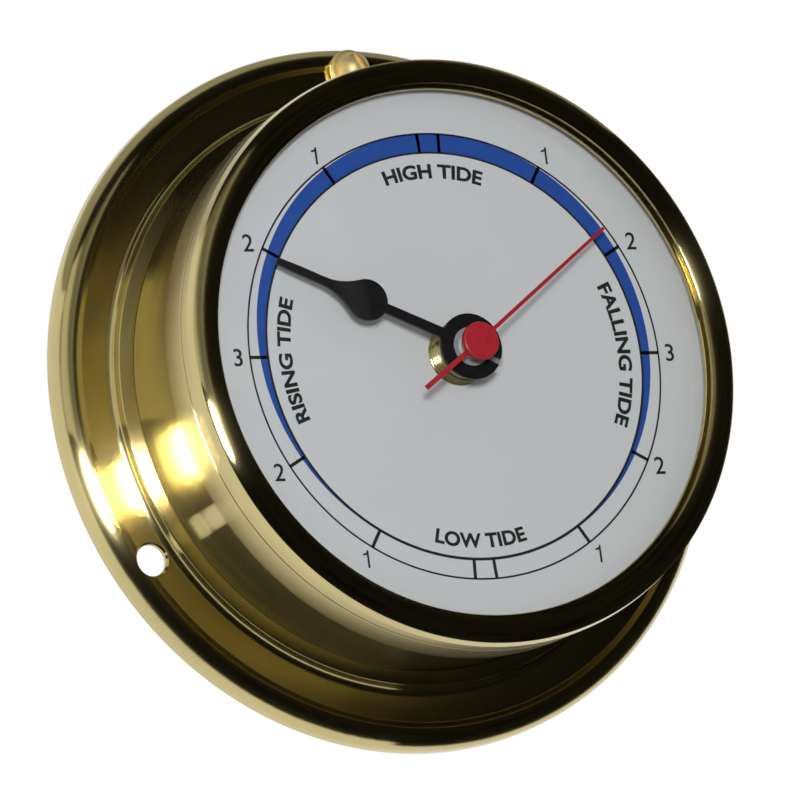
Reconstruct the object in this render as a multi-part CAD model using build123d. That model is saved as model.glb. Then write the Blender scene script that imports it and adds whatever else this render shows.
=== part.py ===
from build123d import *
import math
import os

# Tide clock in a round brass case that screws to a bulkhead. All lengths are millimetres.
# Each piece is drawn with the case lying on its back: z is the height off the wall, y points to
# the top of the dial and x to its right. stand() then turns a piece upright, so that the wall is
# the plane y = 0, the dial faces -Y and the top of the dial points to +Z.

# Small round pieces are drawn as prisms, and rounded corners as a few chords
small_radius = 2.0
small_side_count = 12
corner_chord_count = 2
crest_chord_count = 5
dome_chord_count = 4

# Case: spun flange with a rolled rim and a stepped collar, and the barrel soldered into it
sheet = 1.2
barrel_foot_radius = 50.4
collar_width = 2.8
collar_height = 6.5
collar_round = 1.0
flange_width = 10.3
flange_height = 4.3
rim_rise = 0.5
rim_round = 3.4
rim_width = 3.5
rim_slope = 0.4
solder_gap = 0.05
waist_inset = 1.1
waist_drop = 6.7
flare_width = 2.95
seam_drop = 4.4
shoulder_height = 1.8
neck_inset = 0.6
neck_wall = 1.2
dial_seat_width = 2.8
dial_seat_thickness = 1.0

# Three screw holes through the flange
hole_offset = 4.3
hole_count = 3
hole_radius = 2.8

# Bezel ring, screwed over the neck of the case
bezel_edge_rise = 2.5
bezel_edge_inset = 0.35
bezel_crest_inset = 2.9
bezel_crest_rise = 4.95
bezel_face_curve = 4.65
bead_width = 0.7
bead_drop = 1.2
lip_width = 2.75
seam_gap = 0.15
thread_fit = 0.05
lip_clearance = 0.05

# Dial and domed crystal
dial_height = 30.8
dial_thickness = 0.8
dial_inset = 0.2
gasket_thickness = 0.7
gasket_width = 0.7
crystal_thickness = 2.0
crystal_rim_width = 3.4
crystal_head_room = 3.1

# Movement housing behind the dial
damper_thickness = 0.8
damper_width = 5.0
housing_side = 56.0
housing_corner = 3.0
housing_wall = 1.2
cover_thickness = 1.2
partition_drop = 37.8
post_radius = 1.8
post_inset = 4.0
lower_post_lift = 2.4
screw_radius = 0.7
screw_head_radius = 1.4
screw_head_height = 0.8
screw_length = 4.0

# Battery bay
battery_radius = 7.1
battery_cap_radius = 2.75
battery_cap_length = 1.0
battery_end_gap = 1.8
battery_cap_gap = 1.6
contact_thickness = 0.3
contact_width = 5.0
contact_wall_gap = 0.3
contact_notch_depth = 0.9
negative_reach_share = 0.15
positive_reach_share = 0.55

# Bearings and fits
running_fit = 0.06
end_gap = 0.3
pivot_radius = 0.35
pivot_depth = 0.4
boss_radius = 1.2
boss_height = 1.3

# Gear train: tooth counts, then the places of the axes as distance and bearing in degrees
rotor_teeth = 12
step_wheel_teeth = 60
step_pinion_teeth = 10
seconds_wheel_teeth = 60
seconds_pinion_teeth = 8
third_wheel_teeth = 60
third_pinion_teeth = 8
centre_wheel_teeth = 64
cannon_teeth = 10
minute_wheel_teeth = 37
minute_pinion_teeth = 14
tide_wheel_teeth = 47
setting_teeth = 12
step_distance = 8.75
step_bearing = 140.0
rotor_distance = 7.92
rotor_bearing = 125.0
third_distance = 9.0
third_bearing = 0.0
minute_distance = 7.95
minute_bearing = 75.0
setting_bearing = 45.0

# Tooth form, as shares of the module or of the tooth pitch
tooth_height_share = 0.9
tooth_depth_share = 1.6
tooth_tip_share = 0.16

# Spaces in the stack of the train, from the front plate back to the cover
wheel_thickness = 0.6
tide_hub_length = 2.0
minute_wheel_space = 1.3
cannon_lead = 0.6
clutch_space = 0.5
bridge_space = 0.7
bridge_thickness = 1.0
third_space = 0.5
seconds_space = 0.6
step_space = 0.4
cover_space = 0.7
pinion_overhang = 0.5
cannon_top_space = 0.4

# Rotor, stator and coil
magnet_radius = 2.8
magnet_length = 2.6
magnet_space = 0.2
rotor_boss_space = 0.8
air_gap = 0.5
stator_drop = 0.9
lamination = 0.8
stator_length = 20.0
stator_width = 6.0
stator_leg = 4.0
coil_distance = 9.4
coil_radius = 3.0
coil_length = 10.0
core_width = 2.0
bobbin_wall = 0.6
bobbin_flange = 6.6

# Circuit board
board_width = 20.0
board_left = 1.5
board_depth = 8.7
board_drop = 8.4
board_thickness = 0.8
chip_side = 5.0
chip_height = 0.9
quartz_radius = 1.0
quartz_length = 6.0
board_post_inset = 3.2

# Bridge
bridge_hole_radius = 1.7
pillar_radius = 1.6
pillar_places = [(-12.8, -6.2), (19.0, -6.0), (13.5, 10.5)]
bridge_margin = 2.0
bridge_top_margin = 3.0
bridge_corner_margin = 3.2

# Hub: arbors, tubes, bush and nut
arbor_radius = 0.45
centre_tube_radius = 0.9
tide_tube_radius = 2.5
tide_tube_bore = 1.2
tide_hub_radius = 3.2
minute_post_radius = 0.8
minute_shoulder_radius = 1.3
bush_radius = 3.95
bush_flange_width = 2.55
bush_flange_thickness = 0.8
bush_projection = 4.1
nut_fit = 0.05
nut_width = 1.7
nut_height = 3.6
nut_chamfer = 0.4
nut_slot_width = 1.2
nut_slot_depth = 0.8

# Friction clutch between the going train and the tide hand
clutch_radius = 2.0
clutch_thickness = 0.4

# Setting knob on the back
setting_arbor_radius = 0.8
setting_boss_radius = 1.6
setting_boss_height = 2.5
setting_pinion_length = 1.3
knob_radius = 4.0
knob_thickness = 2.4
knob_flutes = 16
knob_flute_depth = 0.4

# Tide hand and its collet
tide_hand_bearing = 64.6
tide_hand_thickness = 0.6
tide_hub_disc_width = 2.4
tide_slit_width = 1.2
tide_slit_turn = -3.6
tide_shaft_width = 1.7
tide_bulb_distance = 20.5
tide_bulb_radius = 3.6
tide_bulb_tangent = 72.0
tide_bulb_pull = 3.2
tide_neck_distance = 28.9
tide_neck_width = 2.1
tide_tip_space = 6.9
tide_tip_width = 0.7
tide_drop = 2.35
collet_flange_width = 2.7
collet_flange = 0.9
collet_neck_wall = 0.95
collet_neck = 0.5

# Seconds hand and its cap
seconds_bearing = -54.3
seconds_space_under = 2.3
seconds_thickness = 0.3
seconds_tip_space = 9.6
seconds_tail = 13.3
seconds_width = 0.7
seconds_tip_width = 0.55
seconds_tail_width = 0.9
seconds_drop = 3.85
seconds_tail_drop = 0.6
seconds_bend_distance = 5.0
cap_radius = 3.5
cap_thickness = 1.2
cap_lift = 0.2
cap_chamfer = 0.3
cap_tube_radius = 1.0
cap_tube_reach = 1.0

overrun = 2.0

# Sizes that several pieces share
waist_radius = barrel_foot_radius - waist_inset
bezel_radius = waist_radius + flare_width
neck_radius = barrel_foot_radius - neck_inset
collar_radius = barrel_foot_radius + collar_width
flange_radius = collar_radius + flange_width
rim_height = flange_height + rim_rise
hole_circle_radius = collar_radius + hole_offset
seam_height = dial_height - seam_drop
waist_height = seam_height - waist_drop
bezel_bore = neck_radius + thread_fit
bezel_foot = seam_height + seam_gap
bezel_edge_height = dial_height + bezel_edge_rise
bezel_crest_height = dial_height + bezel_crest_rise
lip_radius = neck_radius - lip_width - dial_inset
dial_radius = neck_radius - dial_inset
crystal_dome_radius = dial_radius - crystal_rim_width
dial_back = dial_height - dial_thickness
crystal_back = dial_height + gasket_thickness
crystal_rim_top = crystal_back + crystal_thickness
lip_under = crystal_rim_top + lip_clearance

# Heights of the movement, from the dial back to the rear cover
housing_front = dial_back - damper_thickness
plate_face = housing_front - housing_wall
bush_flange_face = plate_face - bush_flange_thickness
tide_hub_top = bush_flange_face - end_gap
tide_wheel_height = tide_hub_top - tide_hub_length - wheel_thickness
minute_wheel_height = tide_wheel_height - minute_wheel_space - wheel_thickness
cannon_height = minute_wheel_height - cannon_lead
centre_wheel_height = cannon_height - clutch_space - wheel_thickness
bridge_top = centre_wheel_height - bridge_space
bridge_height = bridge_top - bridge_thickness
third_wheel_height = bridge_height - third_space - wheel_thickness
seconds_wheel_height = third_wheel_height - seconds_space - wheel_thickness
step_wheel_height = seconds_wheel_height - step_space - wheel_thickness
cover_face = step_wheel_height - cover_space
housing_back = cover_face - cover_thickness
rotor_pinion_top = step_wheel_height + wheel_thickness + pinion_overhang
magnet_height = rotor_pinion_top + magnet_space
rotor_boss_height = magnet_height + magnet_length + rotor_boss_space
stator_height = magnet_height + stator_drop
board_height = plate_face - board_drop
third_boss_height = centre_wheel_height + wheel_thickness + end_gap + boss_height

# Heights of the hub and the hands, from the dial forwards
bush_top = dial_height + bush_projection
collet_bottom = bush_top + end_gap
tide_hand_height = collet_bottom + collet_flange
seconds_height = tide_hand_height + tide_hand_thickness + seconds_space_under
cap_bottom = seconds_height + seconds_thickness + cap_lift
cap_top = cap_bottom + cap_thickness
crystal_rise = cap_top + crystal_head_room - crystal_back
tide_hub_hole_radius = tide_tube_radius + collet_neck_wall
tide_hub_disc_radius = tide_hub_hole_radius + tide_hub_disc_width
tide_tip_distance = crystal_dome_radius - tide_tip_space
seconds_length = crystal_dome_radius - seconds_tip_space
bush_bore = tide_tube_radius + running_fit
dial_bore = bush_radius + nut_fit

# Places in the movement
inner_half = housing_side / 2 - housing_wall
battery_ends = battery_end_gap + battery_cap_length + battery_cap_gap
battery_length = 2 * inner_half - battery_ends
partition_top = housing_side / 2 - partition_drop
floor = partition_top - housing_wall
board_bottom = inner_half - contact_wall_gap - contact_thickness - board_depth
contact_height = plate_face - battery_radius - contact_width / 2
upward = 90.0


def polar(distance, bearing, start=(0.0, 0.0)):
    """Point at a distance and bearing (degrees from the x axis) from a start point."""
    turn = math.radians(bearing)
    return (start[0] + distance * math.cos(turn), start[1] + distance * math.sin(turn))


def bearing_of(start, end):
    """Bearing in degrees of one point seen from another."""
    return math.degrees(math.atan2(end[1] - start[1], end[0] - start[0]))


# Places of the axes, seen from the front
centre = (0.0, 0.0)
step_axis = polar(step_distance, step_bearing)
rotor_axis = polar(rotor_distance, rotor_bearing, step_axis)
third_axis = polar(third_distance, third_bearing)
minute_axis = polar(minute_distance, minute_bearing)
motion_module = 2 * minute_distance / (cannon_teeth + minute_wheel_teeth)
setting_distance = motion_module * (setting_teeth + minute_wheel_teeth) / 2
setting_axis = polar(setting_distance, setting_bearing, minute_axis)
battery_y = (floor - inner_half) / 2
minute_pinion_top = tide_wheel_height + wheel_thickness + pinion_overhang
post_reach = housing_side / 2 - post_inset
lower_post_y = partition_top + lower_post_lift
post_places = [
    (-post_reach, post_reach),
    (post_reach, post_reach),
    (-post_reach, lower_post_y),
    (post_reach, lower_post_y),
]


def stand(piece):
    """Turn a piece drawn on its back so that the dial faces -Y."""
    return Rot(X=90) * piece


def turned(section):
    """Solid of revolution about the clock's axis from a section drawn as (radius, height)."""
    return revolve(Plane.XZ * section, Axis.Z)


def eased(corners, chords=corner_chord_count):
    """Closed face through corners given as ((x, y), radius), each radius drawn as chords."""
    points = []
    for number, (corner, radius) in enumerate(corners):
        if radius == 0:
            points.append(corner)
            continue
        before = corners[number - 1][0]
        after = corners[(number + 1) % len(corners)][0]
        inward = math.radians(bearing_of(corner, before))
        onward = math.radians(bearing_of(corner, after))
        half = math.remainder(onward - inward, math.tau) / 2
        reach = radius / math.sin(abs(half))
        middle = inward + half
        hub = (corner[0] + reach * math.cos(middle), corner[1] + reach * math.sin(middle))
        first = middle + math.pi + math.copysign(math.pi / 2 - abs(half), half)
        step = -2 * math.copysign(math.pi / 2 - abs(half), half) / chords
        for count in range(chords + 1):
            turn = first + count * step
            points.append((hub[0] + radius * math.cos(turn), hub[1] + radius * math.sin(turn)))
    return make_face(Polyline(*points, close=True))


def upright_prism(place, face, bottom, top):
    """Face drawn round the origin, raised between two heights at a place."""
    return Pos(place[0], place[1], bottom) * extrude(face, top - bottom)


def column(place, radius, bottom, top):
    """Upright round bar between two heights, a prism where it is small."""
    face = Circle(radius) if radius > small_radius else RegularPolygon(radius, small_side_count)
    return upright_prism(place, face, bottom, top)


def bore(place, radius, bottom, top):
    """Cutter for a round hole; the flats of a small one keep the radius clear."""
    if radius > small_radius:
        face = Circle(radius)
    else:
        face = RegularPolygon(radius, small_side_count, major_radius=False)
    return upright_prism(place, face, bottom, top)


def tube(place, radius, hole, bottom, top):
    """Upright tube between two heights."""
    return column(place, radius, bottom, top) - bore(place, hole, bottom - overrun, top + overrun)


def block(x0, x1, y0, y1, bottom, top):
    """Block between two corners."""
    solid = Box(x1 - x0, y1 - y0, top - bottom, align=(Align.MIN, Align.MIN, Align.MIN))
    return Pos(x0, y0, bottom) * solid


def flare_radius(height):
    """Outer radius of the flare that runs from the waist to the edge of the bezel."""
    share = (height - waist_height) / (bezel_edge_height - waist_height)
    return waist_radius + (bezel_radius - waist_radius) * share


def case_flange():
    """Spun flange: rolled rim, flat face with the screw holes, and the stepped collar."""
    inside = collar_radius - sheet
    corners = [
        ((flange_radius, 0.0), 0),
        ((flange_radius, rim_height), rim_round),
        ((flange_radius - rim_width, rim_height), 0),
        ((flange_radius - rim_width - rim_slope, flange_height), 0),
        ((collar_radius, flange_height), collar_round),
        ((collar_radius, collar_height), 0),
        ((barrel_foot_radius + solder_gap, collar_height), 0),
        ((barrel_foot_radius + solder_gap, collar_height - sheet), 0),
        ((inside, collar_height - sheet), 0),
        ((inside, flange_height - sheet), 0),
        ((flange_radius - sheet, flange_height - sheet), rim_round - sheet),
        ((flange_radius - sheet, 0.0), 0),
    ]
    flange = turned(eased(corners))
    for number in range(hole_count):
        place = polar(hole_circle_radius, upward + number * 360 / hole_count)
        flange -= bore(place, hole_radius, -overrun, rim_height + overrun)
    return flange


def case_barrel():
    """Spun barrel: side wall, flare, the neck under the bezel and the seat of the dial."""
    shoulder = seam_height - shoulder_height
    inner_neck = neck_radius - neck_wall
    seat_back = dial_back - dial_seat_thickness
    foot = collar_height - sheet
    points = [
        (barrel_foot_radius, foot),
        (waist_radius, waist_height),
        (flare_radius(seam_height), seam_height),
        (neck_radius, seam_height),
        (neck_radius, dial_back),
        (neck_radius - dial_seat_width, dial_back),
        (neck_radius - dial_seat_width, seat_back),
        (inner_neck, seat_back),
        (inner_neck, shoulder),
        (flare_radius(shoulder) - sheet, shoulder),
        (waist_radius - sheet, waist_height),
        (barrel_foot_radius - sheet, foot),
    ]
    return turned(make_face(Polyline(*points, close=True)))


def arc_points(middle, radius, first, last, chords):
    """Points along an arc between two bearings, ends included."""
    step = (last - first) / chords
    return [polar(radius, first + count * step, middle) for count in range(chords + 1)]


def bezel_ring():
    """Turned ring: continues the flare, rounds over its crest and holds the crystal."""
    middle = (bezel_radius - bezel_crest_inset, bezel_crest_height - bezel_face_curve)
    outer_reach = bezel_radius - bezel_edge_inset - middle[0]
    inner_reach = middle[0] - lip_radius - bead_width
    first = math.degrees(math.acos(outer_reach / bezel_face_curve))
    last = 180 - math.degrees(math.acos(inner_reach / bezel_face_curve))
    crest = arc_points(middle, bezel_face_curve, first, last, crest_chord_count)
    bead_height = crest[-1][1] - bead_drop
    points = [
        (flare_radius(bezel_foot), bezel_foot),
        (bezel_radius, bezel_edge_height),
        *crest,
        (lip_radius + bead_width, bead_height),
        (lip_radius + bead_width / 2, bead_height + bead_width / 2),
        (lip_radius, bead_height),
        (lip_radius, lip_under),
        (bezel_bore, lip_under),
        (bezel_bore, bezel_foot),
    ]
    return turned(make_face(Polyline(*points, close=True)))


def crystal():
    """Domed glass with a flat rim that the bezel's lip holds down."""
    outer = (crystal_dome_radius**2 + crystal_rise**2) / (2 * crystal_rise)
    inner = outer - crystal_thickness
    inner_edge = math.sqrt(2 * inner * crystal_rise - crystal_rise**2)
    middle = (0.0, crystal_rim_top + crystal_rise - outer)
    outer_turn = math.degrees(math.acos(crystal_dome_radius / outer))
    inner_turn = math.degrees(math.acos(inner_edge / inner))
    points = [
        *arc_points(middle, outer, upward, outer_turn, dome_chord_count),
        (dial_radius, crystal_rim_top),
        (dial_radius, crystal_back),
        *arc_points(middle, inner, inner_turn, upward, dome_chord_count),
    ]
    return turned(make_face(Polyline(*points, close=True)))


def crystal_gasket():
    """Flat seal between the dial and the rim of the crystal."""
    return tube(centre, dial_radius, dial_radius - gasket_width, dial_height, crystal_back)


def dial_plate():
    """Printed metal disc with a hole for the bush of the movement."""
    return tube(centre, dial_radius, dial_bore, dial_back, dial_height)


def damper_washer():
    """Soft washer between the dial and the movement."""
    return tube(centre, dial_bore + damper_width, dial_bore, housing_front, dial_back)


def bored_boss(place, radius, hole, bottom, top, hole_depth):
    """Bearing boss that hangs from the front plate, with a blind hole in its end."""
    boss = column(place, radius, bottom, top)
    return boss - bore(place, hole, bottom - overrun, bottom + hole_depth)


def rounded_plate(bottom, top):
    """Plate with the outline of the movement."""
    half = housing_side / 2
    corners = [(half, half), (-half, half), (-half, -half), (half, -half)]
    face = eased([(corner, housing_corner) for corner in corners])
    return upright_prism(centre, face, bottom, top)


def contact_line(side):
    """Path of a battery strap along the side wall and the top wall, on one side."""
    wall = inner_half - contact_wall_gap - contact_thickness / 2
    reach_share = negative_reach_share if side < 0 else positive_reach_share
    top_end = board_left + board_width * reach_share
    return [
        (side * wall, battery_y - contact_width),
        (side * wall, wall),
        (top_end, wall),
    ]


def movement_housing():
    """Moulded housing: front plate, side walls, battery bay, posts, pillars and bosses."""
    half = housing_side / 2
    body = rounded_plate(housing_back, housing_front)
    open_back = housing_back - overrun
    body -= block(-inner_half, inner_half, partition_top, inner_half, open_back, plate_face)
    body -= block(-inner_half, inner_half, -inner_half, floor, open_back, plate_face)
    body -= block(-half - overrun, half + overrun, floor, half + overrun, open_back, cover_face)
    strap_bottom = contact_height - contact_wall_gap
    strap_top = contact_height + contact_width + contact_wall_gap
    for side in (-1, 1):
        reach = sorted((side * (inner_half - contact_notch_depth), side * inner_half))
        notch = block(
            reach[0], reach[1], floor - overrun, partition_top + overrun, strap_bottom, strap_top
        )
        body -= notch
    for place in post_places:
        body += column(place, post_radius, cover_face, plate_face)
        body -= bore(place, screw_radius, open_back, cover_face + screw_length + end_gap)
    for place in pillar_places:
        body += column(place, pillar_radius, bridge_top, plate_face)
        body -= bore(place, screw_radius, open_back, bridge_top + screw_length + end_gap)
    for place in stator_posts():
        body += column(place, pillar_radius, stator_height + 2 * lamination, plate_face)
    for place in board_posts():
        body += column(place, pillar_radius, board_height + board_thickness, plate_face)
    pivot_bore = pivot_radius + running_fit
    setting_bore = setting_arbor_radius + running_fit
    for place, radius, hole, bottom, depth in (
        (rotor_axis, boss_radius, pivot_bore, rotor_boss_height, boss_height),
        (third_axis, boss_radius, pivot_bore, third_boss_height, boss_height),
        (
            setting_axis, setting_boss_radius, setting_bore,
            plate_face - setting_boss_height, setting_boss_height - end_gap,
        ),
    ):
        body += bored_boss(place, radius, hole, bottom, plate_face, depth)
    shoulder = minute_pinion_top + end_gap
    body += column(minute_axis, minute_shoulder_radius, shoulder, plate_face)
    body += column(minute_axis, minute_post_radius, minute_wheel_height - end_gap, shoulder)
    return body - bore(centre, dial_bore, plate_face - overrun, housing_front + overrun)


def rear_cover():
    """Moulded cover behind the train, with the rear bearings and the knob's hole."""
    half = housing_side / 2
    low = housing_back - overrun
    high = cover_face + overrun
    cover = rounded_plate(housing_back, cover_face)
    cover -= block(-half - overrun, half + overrun, -half - overrun, floor, low, high)
    hole_bottom = cover_face - pivot_depth - running_fit
    step_boss = cover_face + cover_space / 2
    for place, top, radius in (
        (centre, cover_face + boss_height, arbor_radius),
        (third_axis, cover_face + boss_height, pivot_radius),
        (step_axis, step_boss, pivot_radius),
        (rotor_axis, step_boss, pivot_radius),
    ):
        cover += column(place, boss_radius, cover_face, top)
        cover -= bore(place, radius + running_fit, hole_bottom, top + overrun)
    cover -= bore(setting_axis, setting_arbor_radius + running_fit, low, high)
    for place in post_places:
        cover -= bore(place, screw_radius, low, high)
        cover -= bore(place, screw_head_radius, low, housing_back + screw_head_height)
    return cover


def screw(place, head_bottom):
    """Small pan-head screw whose head faces the back."""
    head_top = head_bottom + screw_head_height
    body = column(place, screw_head_radius, head_bottom, head_top)
    return body + column(place, screw_radius, head_top, head_top + screw_length)


def cover_screws():
    """Screws at the corners of the rear cover."""
    return [screw(place, housing_back) for place in post_places]


def bridge_screws():
    """Screws that hold the bridge to its pillars."""
    return [screw(place, bridge_height - screw_head_height) for place in pillar_places]


def train_bridge():
    """Plate across the train that carries the seconds arbor and the step wheel's pivot."""
    left, right, top = pillar_places
    low = min(left[1], right[1]) - bridge_margin
    corners = [
        (left[0] - bridge_margin, low),
        (right[0] + bridge_margin, low),
        (right[0] + bridge_margin, right[1] + bridge_margin),
        (top[0] + bridge_margin, top[1] + bridge_margin),
        (top[0] - bridge_margin, top[1] + bridge_margin),
        (minute_axis[0] + bridge_corner_margin, step_axis[1] + bridge_top_margin),
        (step_axis[0] - bridge_margin, step_axis[1] + bridge_top_margin),
        (left[0] - bridge_margin, left[1] + bridge_margin),
    ]
    face = make_face(Polyline(*corners, close=True))
    plate = upright_prism(centre, face, bridge_height, bridge_top)
    low_cut = bridge_height - overrun
    high_cut = bridge_top + overrun
    plate -= bore(centre, arbor_radius + running_fit, low_cut, high_cut)
    plate -= bore(step_axis, pivot_radius + running_fit, low_cut, high_cut)
    plate -= bore(third_axis, bridge_hole_radius, low_cut, high_cut)
    for place in pillar_places:
        plate -= bore(place, screw_radius, low_cut, high_cut)
    return plate


def tooth_module(distance, first_teeth, second_teeth):
    """Module of a pair of wheels from the distance between their axes."""
    return 2 * distance / (first_teeth + second_teeth)


def mesh_turn(turn, teeth, next_teeth, bearing):
    """Turn that sets a second wheel in mesh, given the first wheel's turn and the bearing to it."""
    pitch = 360 / teeth
    share = ((bearing - turn) / pitch) % 1.0
    return bearing + 180 + (share - 0.5) * 360 / next_teeth


def toothed(place, teeth, module, turn, bottom, top):
    """Toothed disc: straight-flanked teeth over V-shaped gaps, one tooth centred on its turn."""
    pitch = 360 / teeth
    root = module * (teeth / 2 - tooth_depth_share)
    tip = module * (teeth / 2 + tooth_height_share)
    half_tip = pitch * tooth_tip_share / 2
    points = []
    for number in range(teeth):
        middle = turn + number * pitch
        points += [polar(root, middle - pitch / 2), polar(tip, middle - half_tip)]
        points.append(polar(tip, middle + half_tip))
    face = make_face(Polyline(*points, close=True))
    return upright_prism(place, face, bottom, top)


# Modules of the pairs, and the turn of each toothed part, set so that every pair is in mesh
rotor_module = tooth_module(rotor_distance, rotor_teeth, step_wheel_teeth)
seconds_module = tooth_module(step_distance, step_pinion_teeth, seconds_wheel_teeth)
third_module = tooth_module(third_distance, seconds_pinion_teeth, third_wheel_teeth)
centre_module = tooth_module(third_distance, third_pinion_teeth, centre_wheel_teeth)
tide_module = tooth_module(minute_distance, minute_pinion_teeth, tide_wheel_teeth)
step_wheel_turn = mesh_turn(
    0.0, rotor_teeth, step_wheel_teeth, bearing_of(rotor_axis, step_axis)
)
seconds_wheel_turn = mesh_turn(
    0.0, step_pinion_teeth, seconds_wheel_teeth, bearing_of(step_axis, centre)
)
third_wheel_turn = mesh_turn(
    0.0, seconds_pinion_teeth, third_wheel_teeth, bearing_of(centre, third_axis)
)
centre_wheel_turn = mesh_turn(
    0.0, third_pinion_teeth, centre_wheel_teeth, bearing_of(third_axis, centre)
)
minute_wheel_turn = mesh_turn(
    0.0, cannon_teeth, minute_wheel_teeth, bearing_of(centre, minute_axis)
)
tide_wheel_turn = mesh_turn(
    0.0, minute_pinion_teeth, tide_wheel_teeth, bearing_of(minute_axis, centre)
)
setting_turn = mesh_turn(
    minute_wheel_turn, minute_wheel_teeth, setting_teeth, bearing_of(minute_axis, setting_axis)
)


def rotor_pinion():
    """Rotor arbor with its moulded pinion."""
    bottom = step_wheel_height - running_fit
    arbor_top = rotor_boss_height + boss_height - end_gap
    piece = toothed(rotor_axis, rotor_teeth, rotor_module, 0.0, bottom, rotor_pinion_top)
    return piece + column(rotor_axis, pivot_radius, cover_face - pivot_depth, arbor_top)


def rotor_magnet():
    """Two-pole magnet pressed on the rotor arbor."""
    top = magnet_height + magnet_length
    return tube(rotor_axis, magnet_radius, pivot_radius, magnet_height, top)


def step_wheel():
    """Wheel that the rotor steps on, with its pinion and arbor."""
    bottom = step_wheel_height
    wheel_top = bottom + wheel_thickness
    pinion_top = seconds_wheel_height + wheel_thickness + pinion_overhang
    arbor_top = bridge_height + bridge_thickness / 2
    piece = toothed(step_axis, step_wheel_teeth, rotor_module, step_wheel_turn, bottom, wheel_top)
    piece += toothed(step_axis, step_pinion_teeth, seconds_module, 0.0, wheel_top, pinion_top)
    return piece + column(step_axis, pivot_radius, cover_face - pivot_depth, arbor_top)


def seconds_wheel():
    """Wheel of the seconds hand, with the pinion that drives the third wheel."""
    bottom = seconds_wheel_height
    wheel_top = bottom + wheel_thickness
    pinion_top = bridge_height - end_gap
    piece = toothed(
        centre, seconds_wheel_teeth, seconds_module, seconds_wheel_turn, bottom, wheel_top
    )
    piece += toothed(centre, seconds_pinion_teeth, third_module, 0.0, wheel_top, pinion_top)
    return piece - bore(centre, arbor_radius, bottom - overrun, pinion_top + overrun)


def seconds_arbor():
    """Steel arbor that runs from the rear cover to the cap of the seconds hand."""
    return column(centre, arbor_radius, cover_face - pivot_depth, cap_bottom)


def third_wheel():
    """Third wheel with the long pinion that reaches through the bridge."""
    bottom = third_wheel_height
    wheel_top = bottom + wheel_thickness
    pinion_top = centre_wheel_height + wheel_thickness + end_gap
    arbor_top = third_boss_height + boss_height - end_gap
    piece = toothed(
        third_axis, third_wheel_teeth, third_module, third_wheel_turn, bottom, wheel_top
    )
    piece += toothed(third_axis, third_pinion_teeth, centre_module, 0.0, wheel_top, pinion_top)
    return piece + column(third_axis, pivot_radius, cover_face - pivot_depth, arbor_top)


def centre_wheel():
    """Wheel that turns once an hour, on a tube around the seconds arbor."""
    bottom = centre_wheel_height
    tube_top = tide_wheel_height - end_gap
    piece = toothed(
        centre, centre_wheel_teeth, centre_module, centre_wheel_turn,
        bottom, bottom + wheel_thickness,
    )
    piece += column(centre, centre_tube_radius, bridge_top + end_gap, tube_top)
    return piece - bore(centre, arbor_radius + running_fit, bridge_top, tube_top + overrun)


def clutch_spring():
    """Sprung washer that presses on the cannon pinion and slips when the hand is set."""
    bottom = centre_wheel_height + wheel_thickness
    return tube(centre, clutch_radius, centre_tube_radius, bottom, bottom + clutch_thickness)


def cannon_pinion():
    """Pinion that rides on the tube of the centre wheel and drives the minute wheel."""
    top = tide_wheel_height - cannon_top_space
    piece = toothed(centre, cannon_teeth, motion_module, 0.0, cannon_height, top)
    hole = centre_tube_radius + running_fit
    return piece - bore(centre, hole, cannon_height - overrun, top + overrun)


def minute_wheel():
    """Wheel of the motion work, on a post of the front plate, with its pinion."""
    bottom = minute_wheel_height
    wheel_top = bottom + wheel_thickness
    piece = toothed(
        minute_axis, minute_wheel_teeth, motion_module, minute_wheel_turn, bottom, wheel_top
    )
    piece += toothed(
        minute_axis, minute_pinion_teeth, tide_module, 0.0, wheel_top, minute_pinion_top
    )
    hole = minute_post_radius + running_fit
    return piece - bore(minute_axis, hole, bottom - overrun, minute_pinion_top + overrun)


def tide_wheel():
    """Wheel that turns once in a tide, with the tube that carries the tide hand."""
    bottom = tide_wheel_height
    wheel_top = bottom + wheel_thickness
    tube_top = tide_hand_height - running_fit
    piece = toothed(centre, tide_wheel_teeth, tide_module, tide_wheel_turn, bottom, wheel_top)
    piece += column(centre, tide_hub_radius, wheel_top, tide_hub_top)
    piece += column(centre, tide_tube_radius, tide_hub_top, tube_top)
    return piece - bore(centre, tide_tube_bore, bottom - overrun, tube_top + overrun)


def threaded_bush():
    """Flanged brass bush that passes through the front plate and the dial."""
    bottom = bush_flange_face
    piece = column(centre, bush_radius + bush_flange_width, bottom, plate_face)
    piece += column(centre, bush_radius, plate_face, bush_top)
    return piece - bore(centre, bush_bore, bottom - overrun, bush_top + overrun)


def dial_nut():
    """Round slotted brass nut that clamps the dial to the movement."""
    top = dial_height + nut_height
    outer = dial_bore + nut_width
    points = [
        (dial_bore, dial_height),
        (outer, dial_height),
        (outer, top - nut_chamfer),
        (outer - nut_chamfer, top),
        (dial_bore, top),
    ]
    nut = turned(make_face(Polyline(*points, close=True)))
    half = nut_slot_width / 2
    reach = outer + overrun
    return nut - block(-reach, reach, -half, half, top - nut_slot_depth, top + overrun)


def setting_pinion():
    """Arbor of the setting knob, with the pinion that turns the minute wheel."""
    bottom = minute_wheel_height - end_gap
    top = bottom + setting_pinion_length
    arbor_bottom = housing_back - end_gap - knob_thickness / 2
    arbor_top = plate_face - setting_boss_height / 2
    piece = toothed(setting_axis, setting_teeth, motion_module, setting_turn, bottom, top)
    return piece + column(setting_axis, setting_arbor_radius, arbor_bottom, arbor_top)


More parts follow.
